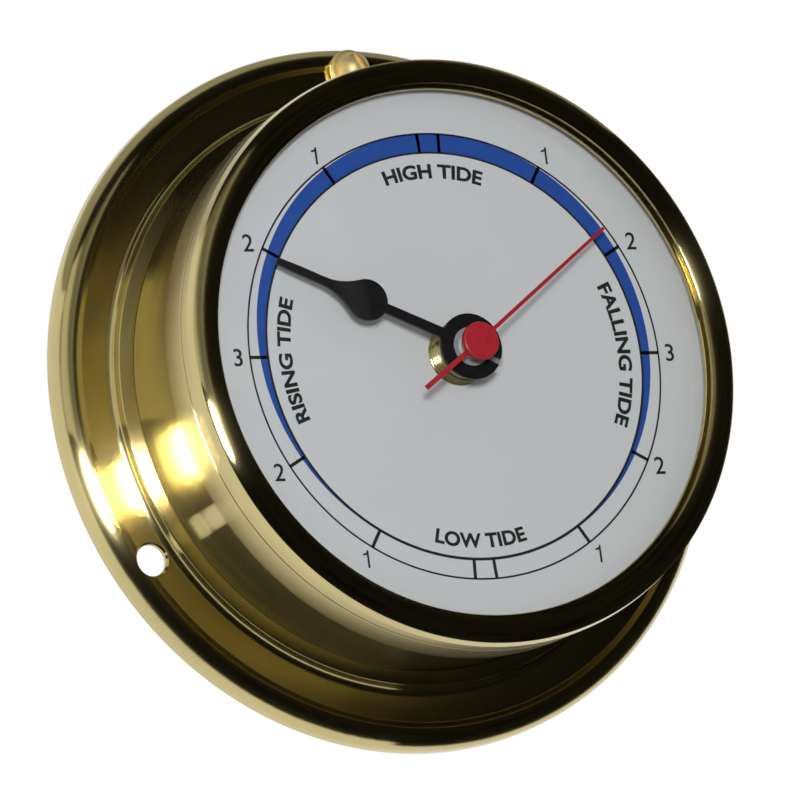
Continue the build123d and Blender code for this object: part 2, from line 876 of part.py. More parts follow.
def setting_knob():
    """Fluted knob on the back that sets the tide hand."""
    front = housing_back - end_gap
    back = front - knob_thickness
    points = []
    for number in range(knob_flutes):
        turn = number * 360 / knob_flutes
        points.append(polar(knob_radius, turn))
        points.append(polar(knob_radius - knob_flute_depth, turn + 180 / knob_flutes))
    face = make_face(Polyline(*points, close=True))
    knob = upright_prism(setting_axis, face, back, front)
    middle = front - knob_thickness / 2
    return knob - bore(setting_axis, setting_arbor_radius, middle, front + overrun)


def stator_posts():
    """Places of the two posts that carry the stator and the coil core."""
    reach = stator_length / 2 - stator_leg / 2
    height = rotor_axis[1] + coil_distance
    return [(rotor_axis[0] - reach, height), (rotor_axis[0] + reach, height)]


def stator_plate():
    """Stamped stator around the rotor, with legs up to the coil core."""
    top = stator_height + lamination
    half = stator_length / 2
    x, y = rotor_axis
    leg_top = y + coil_distance + core_width / 2
    plate = block(
        x - half, x + half, y - stator_width / 2, y + stator_width / 2, stator_height, top
    )
    plate += block(x - half, x - half + stator_leg, y, leg_top, stator_height, top)
    plate += block(x + half - stator_leg, x + half, y, leg_top, stator_height, top)
    plate += column(rotor_axis, magnet_radius + air_gap + core_width / 2, stator_height, top)
    hole = magnet_radius + air_gap
    return plate - bore(rotor_axis, hole, stator_height - overrun, top + overrun)


def coil_core():
    """Iron strip through the coil, lying on the two legs of the stator."""
    half = stator_length / 2
    x, y = rotor_axis[0], rotor_axis[1] + coil_distance
    bottom = stator_height + lamination
    return block(
        x - half, x + half, y - core_width / 2, y + core_width / 2, bottom, bottom + lamination
    )


def around_core(shape):
    """Place a shape drawn along x on the coil's axis."""
    middle = stator_height + 1.5 * lamination
    return Pos(rotor_axis[0], rotor_axis[1] + coil_distance, middle) * shape


def coil_bobbin():
    """Moulded bobbin: a sleeve with a square flange at each end."""
    end = coil_length / 2 + bobbin_wall / 2
    sleeve = Box(coil_length, core_width + 2 * bobbin_wall, lamination + 2 * bobbin_wall)
    flange = Box(bobbin_wall, bobbin_flange, bobbin_flange)
    bobbin = sleeve + Pos(X=-end) * flange + Pos(X=end) * flange
    return around_core(bobbin - Box(stator_length, core_width, lamination))


def coil_winding():
    """Copper winding on the bobbin."""
    winding = Rot(Y=90) * Cylinder(coil_radius, coil_length)
    sleeve = Box(stator_length, core_width + 2 * bobbin_wall, lamination + 2 * bobbin_wall)
    return around_core(winding - sleeve)


def board_posts():
    """Places of the two posts that carry the circuit board."""
    middle = (board_bottom + inner_half) / 2
    return [
        (board_left + board_post_inset, middle),
        (board_left + board_width - board_post_inset, middle),
    ]


def board_edge():
    """Upper edge of the circuit board, against the battery straps."""
    return inner_half - contact_wall_gap - contact_thickness


def circuit_board():
    """Circuit board of the quartz oscillator."""
    top = board_height + board_thickness
    right = board_left + board_width
    return block(board_left, right, board_bottom, board_edge(), board_height, top)


def board_chip():
    """Sealed chip on the rear side of the board."""
    x = board_left + board_width / 2
    y = (board_bottom + board_edge()) / 2
    half = chip_side / 2
    return block(x - half, x + half, y - half, y + half, board_height - chip_height, board_height)


def quartz_can():
    """Quartz crystal in its round can, soldered on the rear side of the board."""
    x = board_left + board_width / 2 + chip_side / 2 + 2 * quartz_radius
    y = board_bottom + quartz_radius / 2
    can = Rot(X=-90) * column(centre, quartz_radius, 0.0, quartz_length)
    return Pos(x, y, board_height - quartz_radius) * can


def battery():
    """Round cell with its raised positive cap."""
    can = column(centre, battery_radius, 0.0, battery_length)
    cap_top_end = battery_length + battery_cap_length
    can += column(centre, battery_cap_radius, battery_length, cap_top_end)
    left = -inner_half + battery_end_gap
    return Pos(left, battery_y, plate_face - battery_radius) * (Rot(Y=90) * can)


def strap(side):
    """Sprung strip from the battery bay along the walls to the circuit board."""
    line = contact_line(side)
    face = trace(Polyline(*line), line_width=contact_thickness)
    wall = line[0][0]
    tip = -inner_half + battery_end_gap - contact_thickness / 2
    if side > 0:
        tip += battery_length + battery_cap_length + contact_thickness
    bow = Polyline((wall, battery_y - contact_width), (tip, battery_y), (wall, battery_y + contact_width))
    face += trace(bow, line_width=contact_thickness)
    return Pos(0, 0, contact_height) * extrude(face, contact_width)


def negative_contact():
    """Strap that bears on the flat end of the battery."""
    return strap(-1)


def positive_contact():
    """Strap that bears on the cap of the battery."""
    return strap(1)


def tide_collet():
    """Grey collet that holds the tide hand on the tube of the tide wheel."""
    neck_top = tide_hand_height + collet_neck
    flange = tide_tube_radius + collet_flange_width
    piece = column(centre, flange, collet_bottom, tide_hand_height)
    piece += column(centre, tide_hub_hole_radius, tide_hand_height, neck_top)
    return piece - bore(centre, tide_tube_radius, collet_bottom - overrun, neck_top + overrun)


def drooped(face, side_points, depth):
    """Sheet with a plan outline that follows a bent line seen from the side."""
    blade = Pos(Z=-depth) * extrude(face, 2 * depth)
    side = make_face(Polyline(*side_points, close=True))
    return blade & extrude(Plane.XZ * side, depth, both=True)


def tide_hand():
    """Black hand: slit hub disc, shaft, drop-shaped bulb and tapered point, bent gently down."""
    half_tip = tide_tip_width / 2
    half_neck = tide_neck_width / 2
    half_shaft = tide_shaft_width / 2
    bulb_end = polar(tide_bulb_radius, tide_bulb_tangent, (tide_bulb_distance, 0.0))
    pull = tide_bulb_pull
    bulb_pull = polar(pull, tide_bulb_tangent - upward, bulb_end)
    neck = (tide_neck_distance, half_neck)
    taper = (half_neck - half_tip) / (tide_tip_distance - tide_neck_distance)
    neck_pull = (tide_neck_distance - pull, half_neck + pull * taper)
    bulb_start = (tide_bulb_distance - tide_bulb_radius, 0.0)
    bulb_side = polar(tide_bulb_radius, 180 - tide_bulb_tangent, (tide_bulb_distance, 0.0))
    with BuildLine() as line:
        ThreePointArc(bulb_start, bulb_side, bulb_end)
        Bezier(bulb_end, bulb_pull, neck_pull, neck)
        Polyline(neck, (tide_tip_distance, half_tip), (tide_tip_distance, 0.0), bulb_start)
    blade = make_face(line.line)
    blade += mirror(blade, Plane.XZ)
    shaft_start = tide_hub_disc_radius - half_shaft
    shaft_length = tide_bulb_distance - shaft_start
    shaft = Pos(shaft_start + shaft_length / 2, 0) * Rectangle(shaft_length, tide_shaft_width)
    blade += shaft + Circle(tide_hub_disc_radius)
    slit = Pos(-tide_hub_disc_radius / 2, 0) * Rectangle(tide_hub_disc_radius, tide_slit_width)
    blade -= Circle(tide_hub_hole_radius) + Rot(Z=tide_slit_turn) * slit
    low = tide_hand_height
    high = low + tide_hand_thickness
    back = -tide_hub_disc_radius - overrun
    end = tide_tip_distance + overrun
    slope = tide_drop / (tide_tip_distance - tide_hub_disc_radius)
    drop = slope * (end - tide_hub_disc_radius)
    side = [
        (back, low), (tide_hub_disc_radius, low), (end, low - drop),
        (end, high - drop), (tide_hub_disc_radius, high), (back, high),
    ]
    hand = drooped(blade, side, 2 * tide_tip_distance)
    return Rot(Z=upward + tide_hand_bearing) * hand


def seconds_hand():
    """Thin red hand with a wider tail, bent gently down to stay under the dome."""
    half_width = seconds_width / 2
    half_tip = seconds_tip_width / 2
    half_tail = seconds_tail_width / 2
    points = [
        (seconds_length, -half_tip),
        (seconds_length, half_tip),
        (cap_radius, half_width),
        (0.0, half_tail),
        (-seconds_tail, half_tail),
        (-seconds_tail, -half_tail),
        (0.0, -half_tail),
        (cap_radius, -half_width),
    ]
    face = make_face(Polyline(*points, close=True)) + Circle(cap_tube_radius + end_gap)
    face -= RegularPolygon(cap_tube_radius, small_side_count)
    low = seconds_height
    high = low + seconds_thickness
    bend = seconds_bend_distance
    slope = seconds_drop / (seconds_length - bend)
    tail_slope = seconds_tail_drop / (seconds_tail - bend)
    end = seconds_length + overrun
    tail = -seconds_tail - overrun
    drop = slope * (end - bend)
    tail_drop = tail_slope * (-tail - bend)
    side = [
        (tail, low - tail_drop), (-bend, low), (bend, low), (end, low - drop),
        (end, high - drop), (bend, high), (-bend, high), (tail, high - tail_drop),
    ]
    hand = drooped(face, side, 2 * seconds_length)
    return Rot(Z=upward + seconds_bearing) * hand


def seconds_cap():
    """Round red cap with the tube that presses on the seconds arbor."""
    points = [
        (0.0, cap_bottom),
        (cap_radius, cap_bottom),
        (cap_radius, cap_top - cap_chamfer),
        (cap_radius - cap_chamfer, cap_top),
        (0.0, cap_top),
    ]
    tube_bottom = seconds_height - cap_tube_reach
    cap = turned(make_face(Polyline(*points, close=True)))
    cap += column(centre, cap_tube_radius, tube_bottom, cap_bottom)
    return cap - bore(centre, arbor_radius, tube_bottom - overrun, cap_bottom)


PIECES = {
    "case_flange": case_flange,
    "case_barrel": case_barrel,
    "bezel_ring": bezel_ring,
    "crystal": crystal,
    "crystal_gasket": crystal_gasket,
    "dial_plate": dial_plate,
    "damper_washer": damper_washer,
    "movement_housing": movement_housing,
    "rear_cover": rear_cover,
    "cover_screws": cover_screws,
    "train_bridge": train_bridge,
    "bridge_screws": bridge_screws,
    "threaded_bush": threaded_bush,
    "dial_nut": dial_nut,
    "battery": battery,
    "negative_contact": negative_contact,
    "positive_contact": positive_contact,
    "circuit_board": circuit_board,
    "board_chip": board_chip,
    "quartz_can": quartz_can,
    "stator_plate": stator_plate,
    "coil_core": coil_core,
    "coil_bobbin": coil_bobbin,
    "coil_winding": coil_winding,
    "rotor_magnet": rotor_magnet,
    "rotor_pinion": rotor_pinion,
    "step_wheel": step_wheel,
    "seconds_wheel": seconds_wheel,
    "seconds_arbor": seconds_arbor,
    "third_wheel": third_wheel,
    "centre_wheel": centre_wheel,
    "clutch_spring": clutch_spring,
    "cannon_pinion": cannon_pinion,
    "minute_wheel": minute_wheel,
    "tide_wheel": tide_wheel,
    "setting_pinion": setting_pinion,
    "setting_knob": setting_knob,
    "tide_collet": tide_collet,
    "tide_hand": tide_hand,
    "seconds_hand": seconds_hand,
    "seconds_cap": seconds_cap,
}

os.makedirs("parts", exist_ok=True)
for name, make in PIECES.items():
    piece = make()
    if isinstance(piece, list):
        piece = Compound(children=[stand(solid) for solid in piece])
    else:
        piece = stand(piece)
    export_step(piece, os.path.join("parts", name + ".step"))
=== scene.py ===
import bmesh
import bpy
import math
from mathutils import Matrix, Vector


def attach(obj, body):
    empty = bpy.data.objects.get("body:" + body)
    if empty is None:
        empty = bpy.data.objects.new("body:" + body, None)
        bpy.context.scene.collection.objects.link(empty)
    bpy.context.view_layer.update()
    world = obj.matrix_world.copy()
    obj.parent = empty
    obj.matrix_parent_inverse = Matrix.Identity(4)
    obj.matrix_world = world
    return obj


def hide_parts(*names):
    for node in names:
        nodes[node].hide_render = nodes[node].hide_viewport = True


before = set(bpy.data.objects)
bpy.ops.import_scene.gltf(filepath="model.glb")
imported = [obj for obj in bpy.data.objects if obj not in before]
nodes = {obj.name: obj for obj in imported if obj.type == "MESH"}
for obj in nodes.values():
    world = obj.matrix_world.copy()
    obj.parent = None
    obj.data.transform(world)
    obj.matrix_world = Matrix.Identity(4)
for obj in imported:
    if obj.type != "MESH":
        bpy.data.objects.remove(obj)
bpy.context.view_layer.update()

# Case flange: spun from brass sheet with a rolled outer rim and a stepped collar in the middle.
# It is turned and polished on the lathe, which leaves fine marks round its axis, and three holes
# are drilled through it for the wall screws.
MM = 0.001
FINE_TURNS = 512
SHARP_EDGE = math.radians(28)
FLANGE_RADIUS = 63.48
FLANGE_ROLL = 3.4
FLANGE_FRONT = 4.8
RIDGE_RADIUS = 59.9
FACE_RADIUS = 58.9
FACE_FRONT = 4.3
FACE_BACK = 3.1
STEP_EASE = 0.6
COLLAR_RADIUS = 53.2
COLLAR_SWEEP = 1.5
COLLAR_CORNER = (52.8, 6.42)
COLLAR_MOUTH = (50.33, 6.9)
SOCKET_RADIUS = 52.0
BARREL_FOOT = 5.3
INSIDE_RADIUS = 62.3
INSIDE_ROLL = 2.2
HOLE_COUNT = 3
HOLE_CIRCLE = 57.5
HOLE_RADIUS = 2.8
HOLE_MOUTH = 3.15
COUNTERSINK_FOOT = 3.9
COUNTERSINK_TOP = 4.25
DRILL_FROM = -2.0
DRILL_TO = 7.0


def eased_section(corners, steps=10):
    """Section of (radius, height off the wall) points, each corner rounded by its own radius."""
    points = []
    for number, (corner, radius) in enumerate(corners):
        if radius == 0:
            points.append(corner)
            continue
        here = Vector(corner)
        before = (Vector(corners[number - 1][0]) - here).normalized()
        after = (Vector(corners[(number + 1) % len(corners)][0]) - here).normalized()
        half = before.angle(after) / 2
        hub = here + (before + after).normalized() * radius / math.sin(half)
        start = here + before * radius / math.tan(half) - hub
        end = here + after * radius / math.tan(half) - hub
        sweep = math.atan2(start.x * end.y - start.y * end.x, start.dot(end))
        for step in range(steps + 1):
            turn = Matrix.Rotation(sweep * step / steps, 2)
            point = hub + turn @ start
            points.append((point.x, point.y))
    return points


def shade(mesh_data):
    """Shade smooth, but keep the edges where the faces turn sharply."""
    for face in mesh_data.faces:
        face.smooth = True
    for edge in mesh_data.edges:
        turn = edge.calc_face_angle(0) if len(edge.link_faces) == 2 else 0
        edge.smooth = turn < SHARP_EDGE


def mesh_object(name, mesh_data, body):
    """Finish a mesh: outward faces, smooth shading with sharp edges kept, and its body."""
    bmesh.ops.remove_doubles(mesh_data, verts=mesh_data.verts, dist=1e-7)
    bmesh.ops.recalc_face_normals(mesh_data, faces=mesh_data.faces)
    shade(mesh_data)
    mesh = bpy.data.meshes.new(name)
    mesh_data.to_mesh(mesh)
    mesh_data.free()
    made = bpy.data.objects.new(name, mesh)
    bpy.context.scene.collection.objects.link(made)
    if body:
        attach(made, body)
    return made


def spun(name, section, body="case", turns=FINE_TURNS, axis=(0.0, 0.0)):
    """Turn a closed section round an axis that stands on the wall at axis = (x, z), in mm."""
    mesh_data = bmesh.new()
    rings = []
    for turn in range(turns):
        angle = 2 * math.pi * turn / turns
        ring = []
        for radius, height in section:
            x = axis[0] + radius * math.sin(angle)
            z = axis[1] + radius * math.cos(angle)
            ring.append(mesh_data.verts.new(Vector((x, -height, z)) * MM))
        rings.append(ring)
    count = len(section)
    for turn in range(turns):
        this, following = rings[turn], rings[(turn + 1) % turns]
        for point in range(count):
            after = (point + 1) % count
            if section[point][0] == 0 and section[after][0] == 0:
                continue
            mesh_data.faces.new((this[point], this[after], following[after], following[point]))
    return mesh_object(name, mesh_data, body)


def cut_away(piece, cutters):
    """Cut holes in a piece with closed cutters, which are then thrown away."""
    for cutter in cutters:
        cut = piece.modifiers.new("cut", "BOOLEAN")
        cut.operation = "DIFFERENCE"
        cut.solver = "EXACT"
        cut.object = cutter
    bpy.context.view_layer.update()
    graph = bpy.context.evaluated_depsgraph_get()
    mesh = bpy.data.meshes.new_from_object(piece.evaluated_get(graph))
    mesh_data = bmesh.new()
    mesh_data.from_mesh(mesh)
    shade(mesh_data)
    mesh_data.to_mesh(mesh)
    mesh_data.free()
    piece.modifiers.clear()
    piece.data = mesh
    for cutter in cutters:
        bpy.data.objects.remove(cutter)


class Finish:
    """A material under construction, with its shader and its node tree."""

    def __init__(self, name, **sockets):
        self.material = bpy.data.materials.new(name)
        self.material.use_nodes = True
        self.nodes = self.material.node_tree.nodes
        self.links = self.material.node_tree.links
        self.shader = self.nodes["Principled BSDF"]
        for socket, value in sockets.items():
            self.shader.inputs[socket.replace("_", " ")].default_value = value

    def add(self, kind, inputs=(), **settings):
        """Add a node, and link or set its inputs."""
        node = self.nodes.new("ShaderNode" + kind)
        for key, value in settings.items():
            setattr(node, key, value)
        for socket, value in dict(inputs).items():
            if isinstance(value, bpy.types.NodeSocket):
                self.links.new(value, node.inputs[socket])
            else:
                node.inputs[socket].default_value = value
        return node

    def place(self):
        """Place on the piece itself, so that a pattern moves with it."""
        return self.add("TexCoord").outputs["Object"]

    def reckon(self, operation, first, second=0.0):
        """Result of one sum, such as ADD or MULTIPLY, on two values."""
        return self.add("Math", {0: first, 1: second}, operation=operation).outputs[0]

    def speckle(self, scale, detail=3.0, vector=None):
        """Cloudy noise; a larger scale gives finer grain."""
        source = self.place() if vector is None else vector
        made = self.add("TexNoise", {"Vector": source, "Scale": scale, "Detail": detail})
        return made.outputs["Fac"]

    def spread(self, value, low, high):
        """A value from 0 to 1, spread over the range from low to high."""
        made = self.add("MapRange", {"Value": value, "To Min": low, "To Max": high})
        return made.outputs["Result"]

    def blend(self, value, first, second):
        """Colour that changes from the first to the second as the value rises."""
        ramp = self.add("ValToRGB", {"Fac": value})
        ramp.color_ramp.elements[0].color = (*first, 1)
        ramp.color_ramp.elements[1].color = (*second, 1)
        ramp.color_ramp.elements[0].position = 0.3
        ramp.color_ramp.elements[1].position = 0.7
        return ramp.outputs["Color"]

    def paint(self, colour):
        """Link a colour to the surface."""
        self.links.new(colour, self.shader.inputs["Base Color"])

    def roughen(self, value):
        """Link a value to the roughness: 0 is a mirror, 1 is matt."""
        self.links.new(value, self.shader.inputs["Roughness"])

    def bump(self, height, distance):
        """Small unevenness of the surface, up to a distance in metres."""
        made = self.add("Bump", {"Height": height, "Distance": distance})
        self.links.new(made.outputs["Normal"], self.shader.inputs["Normal"])

    def on(self, *pieces):
        """Put the material in every slot of the pieces."""
        for piece in pieces:
            slots = piece.data.materials
            if not slots:
                slots.append(None)
            for number in range(len(slots)):
                slots[number] = self.material


def lathe_marks(finish, pitch):
    """Noise that changes only across the turning marks, so it runs in rings round the axis."""
    split = finish.add("SeparateXYZ", {"Vector": finish.place()})
    across = finish.reckon("MULTIPLY", split.outputs["X"], split.outputs["X"])
    upward = finish.reckon("MULTIPLY", split.outputs["Z"], split.outputs["Z"])
    radius = finish.reckon("SQRT", finish.reckon("ADD", across, upward))
    rings = finish.add("CombineXYZ", {"X": radius, "Y": split.outputs["Y"]})
    return finish.speckle(1 / pitch, 2.0, rings.outputs["Vector"])


def turned_brass(name, colour, dull, roughness, pitch):
    """Polished brass with turning marks: it shines in streaks that run across the marks."""
    finish = Finish(name, Metallic=1.0, Anisotropic=1.0, Anisotropic_Rotation=0.25)
    marks = lathe_marks(finish, pitch)
    stain = finish.speckle(38.0, 4.0)
    finish.paint(finish.blend(stain, colour, dull))
    both = finish.reckon("MULTIPLY", finish.reckon("ADD", marks, stain), 0.5)
    finish.roughen(finish.spread(both, roughness * 0.7, roughness * 1.3))
    tangent = finish.add("Tangent", direction_type="RADIAL", axis="Y")
    finish.links.new(tangent.outputs["Tangent"], finish.shader.inputs["Tangent"])
    return finish


flange_section = eased_section([
    ((FLANGE_RADIUS, 0.0), 0),
    ((FLANGE_RADIUS, FLANGE_FRONT), FLANGE_ROLL),
    ((RIDGE_RADIUS, FLANGE_FRONT), STEP_EASE),
    ((FACE_RADIUS, FACE_FRONT), STEP_EASE),
    ((COLLAR_RADIUS, FACE_FRONT), COLLAR_SWEEP),
    (COLLAR_CORNER, 0.3),
    (COLLAR_MOUTH, 0),
    ((50.45, BARREL_FOOT), 0),
    ((SOCKET_RADIUS, BARREL_FOOT), 0),
    ((SOCKET_RADIUS, FACE_BACK), 0),
    ((INSIDE_RADIUS, FACE_BACK), INSIDE_ROLL),
    ((INSIDE_RADIUS, 0.0), 0),
])
case_flange = spun("case_flange_spun", flange_section)
hole_section = [
    (0.0, DRILL_FROM), (HOLE_RADIUS, DRILL_FROM), (HOLE_RADIUS, COUNTERSINK_FOOT),
    (HOLE_MOUTH, COUNTERSINK_TOP), (HOLE_MOUTH, DRILL_TO), (0.0, DRILL_TO),
]
hole_places = []
for number in range(HOLE_COUNT):
    turn = number * 2 * math.pi / HOLE_COUNT
    hole_places.append((HOLE_CIRCLE * math.sin(turn), HOLE_CIRCLE * math.cos(turn)))
cut_away(case_flange, [
    spun("hole_cutter", hole_section, body=None, turns=96, axis=place) for place in hole_places
])
case_brass = turned_brass("case_brass", (0.58, 0.49, 0.23), (0.53, 0.45, 0.21), 0.13, 0.0005)
case_brass.on(case_flange)
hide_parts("case_flange")

# Case barrel: turned brass tube, soldered into the collar of the flange. It narrows towards the
# front, then steps out to a band with nearly upright sides, which carries the seat of the dial.
BARREL_RADIUS = 50.5
BARREL_BORE = 49.2
WAIST_POINT = (49.45, 12.3)
WAIST_BEND = 14.0
WAIST_INSIDE = (48.1, 19.7)
SHOULDER_FOOT = (49.2, 22.7)
SHOULDER_EDGE = (51.85, 23.0)
# The two points beside the corners keep the long side of the band flat in the shading.
BESIDE_SHOULDER = (51.871, 23.5)
BESIDE_SEAM = (52.138, 29.9)
SEAM_RADIUS = 52.15
SEAM_BACK = 30.2
DIAL_RECESS = 49.8
DIAL_SEAT = 30.0
SEAT_BORE = 47.0
SEAT_BACK = 29.0
BAND_BORE = 48.6
BAND_BORE_BACK = 24.6
NECK_BORE = 49.1
barrel_section = eased_section([
    ((BARREL_RADIUS, BARREL_FOOT), 0),
    (WAIST_POINT, WAIST_BEND),
    (SHOULDER_FOOT, 0.8),
    (SHOULDER_EDGE, 0.3),
    (BESIDE_SHOULDER, 0),
    (BESIDE_SEAM, 0),
    ((SEAM_RADIUS, SEAM_BACK), 0.12),
    ((DIAL_RECESS, SEAM_BACK), 0),
    ((DIAL_RECESS, DIAL_SEAT), 0),
    ((SEAT_BORE, DIAL_SEAT), 0),
    ((SEAT_BORE, SEAT_BACK), 0),
    ((BAND_BORE, SEAT_BACK), 0),
    ((BAND_BORE, BAND_BORE_BACK), 0),
    ((NECK_BORE, BAND_BORE_BACK), 0),
    (WAIST_INSIDE, 0),
    ((BARREL_BORE, BARREL_FOOT), 0),
])
case_barrel = spun("case_barrel_spun", barrel_section)
case_brass.on(case_barrel)
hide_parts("case_barrel")

# Damper and dial: a soft black washer on the movement, then a metal disc with a flat silver
# paint, screen printed in black and blue. The print is a few hundredths of a millimetre thick.
gasket_rubber = Finish("gasket_rubber", Specular_IOR_Level=0.3)
rubber_grain = gasket_rubber.speckle(900.0)
gasket_rubber.paint(gasket_rubber.blend(rubber_grain, (0.018, 0.018, 0.018), (0.03, 0.03, 0.03)))
gasket_rubber.roughen(gasket_rubber.spread(rubber_grain, 0.75, 0.9))
gasket_rubber.on(nodes["damper_washer"])

dial_paint = Finish("dial_paint", Specular_IOR_Level=0.35)
paint_grain = dial_paint.speckle(1400.0, 4.0)
dial_paint.paint(dial_paint.blend(dial_paint.speckle(30.0), (0.60, 0.605, 0.62), (0.62, 0.625, 0.635)))
dial_paint.roughen(dial_paint.spread(paint_grain, 0.5, 0.62))
dial_paint.bump(paint_grain, 0.000004)
dial_paint.on(nodes["dial_plate"])

PRINT_TOP = 30.83
PRINT_FOOT = 30.79
SCALE_RADIUS = 39.71
SCALE_HALF_LINE = 0.16
BAND_RADIUS = 36.46
INNER_LINE = 0.42
INNER_LINE_RISE = 0.08
TICK_HALF = 0.30
TICK_TURNS = (3, 32, 61, 90, 119, 148, 177, 183, 212, 241, 270, 299, 328, 357)
BLUE_RADIUS = 37.9
BLUE_RISE = 1.78
BLUE_LEAN = 3
RING_STEPS = 480
BLUE_STEPS = 292
BLUE_STEP = 0.5


def printed_ink(name, colour, darker):
    """Screen-printing ink: matt, with the faint mottle of a thin film."""
    ink = Finish(name, Specular_IOR_Level=0.3)
    mottle = ink.speckle(700.0)
    ink.paint(ink.blend(mottle, colour, darker))
    ink.roughen(ink.spread(mottle, 0.5, 0.65))
    return ink


def dial_point(radius, turn, height):
    """Point of the dial at a radius and a clockwise turn from the top, in degrees."""
    angle = math.radians(turn)
    return Vector((radius * math.sin(angle), -height, radius * math.cos(angle))) * MM


def print_strip(mesh_data, edges, closed):
    """Thin closed strip of ink between pairs of (inner point, outer point) in plan."""
    rows = []
    for inner, outer in edges:
        row = [dial_point(inner[0], inner[1], PRINT_TOP), dial_point(outer[0], outer[1], PRINT_TOP)]
        row += [dial_point(outer[0], outer[1], PRINT_FOOT), dial_point(inner[0], inner[1], PRINT_FOOT)]
        rows.append([mesh_data.verts.new(point) for point in row])
    pairs = list(zip(rows, rows[1:]))
    if closed:
        pairs.append((rows[-1], rows[0]))
    for this, following in pairs:
        for side in range(4):
            after = (side + 1) % 4
            mesh_data.faces.new((this[side], this[after], following[after], following[side]))
    if not closed:
        mesh_data.faces.new(rows[0])
        mesh_data.faces.new(list(reversed(rows[-1])))


def eccentric(radius, rise, turn):
    """Distance from the dial's centre to a circle whose own centre lies above it."""
    angle = math.radians(turn)
    return rise * math.cos(angle) + math.sqrt(radius**2 - (rise * math.sin(angle)) ** 2)


black_ink = printed_ink("black_ink", (0.012, 0.012, 0.014), (0.02, 0.02, 0.022))
rings = bmesh.new()
scale_edges = []
band_line_edges = []
for number in range(RING_STEPS):
    turn = number * 360 / RING_STEPS
    scale_edges.append(((SCALE_RADIUS - SCALE_HALF_LINE, turn), (SCALE_RADIUS + SCALE_HALF_LINE, turn)))
    inner_edge = eccentric(BAND_RADIUS - INNER_LINE, INNER_LINE_RISE, turn)
    band_line_edges.append(((inner_edge, turn), (BAND_RADIUS, turn)))
print_strip(rings, scale_edges, True)
print_strip(rings, band_line_edges, True)
dial_rings = mesh_object("dial_rings", rings, "case")
ticks = bmesh.new()
inner_half = math.degrees(TICK_HALF / BAND_RADIUS)
outer_half = math.degrees(TICK_HALF / SCALE_RADIUS)
low, high = BAND_RADIUS - 0.1, SCALE_RADIUS + 0.1
for turn in TICK_TURNS:
    print_strip(ticks, [
        ((low, turn - inner_half), (high, turn - outer_half)),
        ((low, turn + inner_half), (high, turn + outer_half)),
    ], False)
dial_ticks = mesh_object("dial_ticks", ticks, "case")

band = bmesh.new()
band_edges = []
for number in range(-BLUE_STEPS, BLUE_STEPS + 1):
    turn = number * BLUE_STEP
    outer = max(eccentric(BLUE_RADIUS, BLUE_RISE, turn - BLUE_LEAN), BAND_RADIUS + 0.01)
    band_edges.append(((BAND_RADIUS - 0.02, turn), (outer, turn)))
print_strip(band, band_edges, False)
tide_band = mesh_object("tide_band", band, "case")
blue_ink = printed_ink("blue_ink", (0.015, 0.075, 0.36), (0.013, 0.065, 0.32))
blue_ink.on(tide_band)

WORD_BOLDNESS = 0.034
WORD_RADIUS = 32.95
WORD_HEIGHT = 2.65
FIGURE_BOLDNESS = 0.008
FIGURE_HEIGHT = 3.1
ONE_OUTLINE = (
    (0.24, 0.0), (0.36, 0.0), (0.36, 1.0), (0.27, 1.0),
    (0.22, 0.86), (0.0, 0.80), (0.0, 0.71), (0.24, 0.74),
)


def letter_mesh(text, boldness):
    """Outline letters as a mesh, with the box they fill."""
    curve = bpy.data.curves.new("letters", "FONT")
    curve.body = text
    curve.offset = boldness
    curve.extrude = 0.5
    curve.resolution_u = 6
    curve.align_x = "CENTER"
    holder = bpy.data.objects.new("letters", curve)
    bpy.context.scene.collection.objects.link(holder)
    bpy.context.view_layer.update()
    mesh = bpy.data.meshes.new_from_object(
        holder.evaluated_get(bpy.context.evaluated_depsgraph_get())
    )
    bpy.data.objects.remove(holder)
    across = [vert.co.x for vert in mesh.vertices]
    upward = [vert.co.y for vert in mesh.vertices]
    return mesh, min(across), max(across), min(upward), max(upward)


def ink_height(depth):
    """Height off the wall of the top or the foot of the ink."""
    return PRINT_TOP if depth > 0 else PRINT_FOOT


def closed_print(name, mesh):
    """Turn a mesh of letters into a printed piece of the case."""
    mesh_data = bmesh.new()
    mesh_data.from_mesh(mesh)
    bpy.data.meshes.remove(mesh)
    return mesh_object(name, mesh_data, "case")


def curved_words(name, text, middle, half_angle, tops_outward=True):
    """Words bent round the dial, the middle of the letters on a circle."""
    mesh, left, right, bottom, top = letter_mesh(text, WORD_BOLDNESS)
    side = 1 if tops_outward else -1
    for vert in mesh.vertices:
        share = (vert.co.x - (left + right) / 2) / (right - left)
        rise = (vert.co.y - (bottom + top) / 2) / (top - bottom)
        turn = middle + side * share * 2 * half_angle
        radius = WORD_RADIUS + side * rise * WORD_HEIGHT
        vert.co = dial_point(radius, turn, ink_height(vert.co.z))
    return closed_print(name, mesh)


def flagged_one():
    """The figure one, drawn as a stem with a short flag, with the box it fills."""
    mesh_data = bmesh.new()
    tops = [mesh_data.verts.new((x, y, 0.5)) for x, y in ONE_OUTLINE]
    feet = [mesh_data.verts.new((x, y, -0.5)) for x, y in ONE_OUTLINE]
    mesh_data.faces.new(tops)
    mesh_data.faces.new(list(reversed(feet)))
    for number in range(len(ONE_OUTLINE)):
        after = (number + 1) % len(ONE_OUTLINE)
        mesh_data.faces.new((tops[after], tops[number], feet[number], feet[after]))
    mesh = bpy.data.meshes.new("one")
    mesh_data.to_mesh(mesh)
    mesh_data.free()
    across = [x for x, y in ONE_OUTLINE]
    upward = [y for x, y in ONE_OUTLINE]
    return mesh, min(across), max(across), min(upward), max(upward)


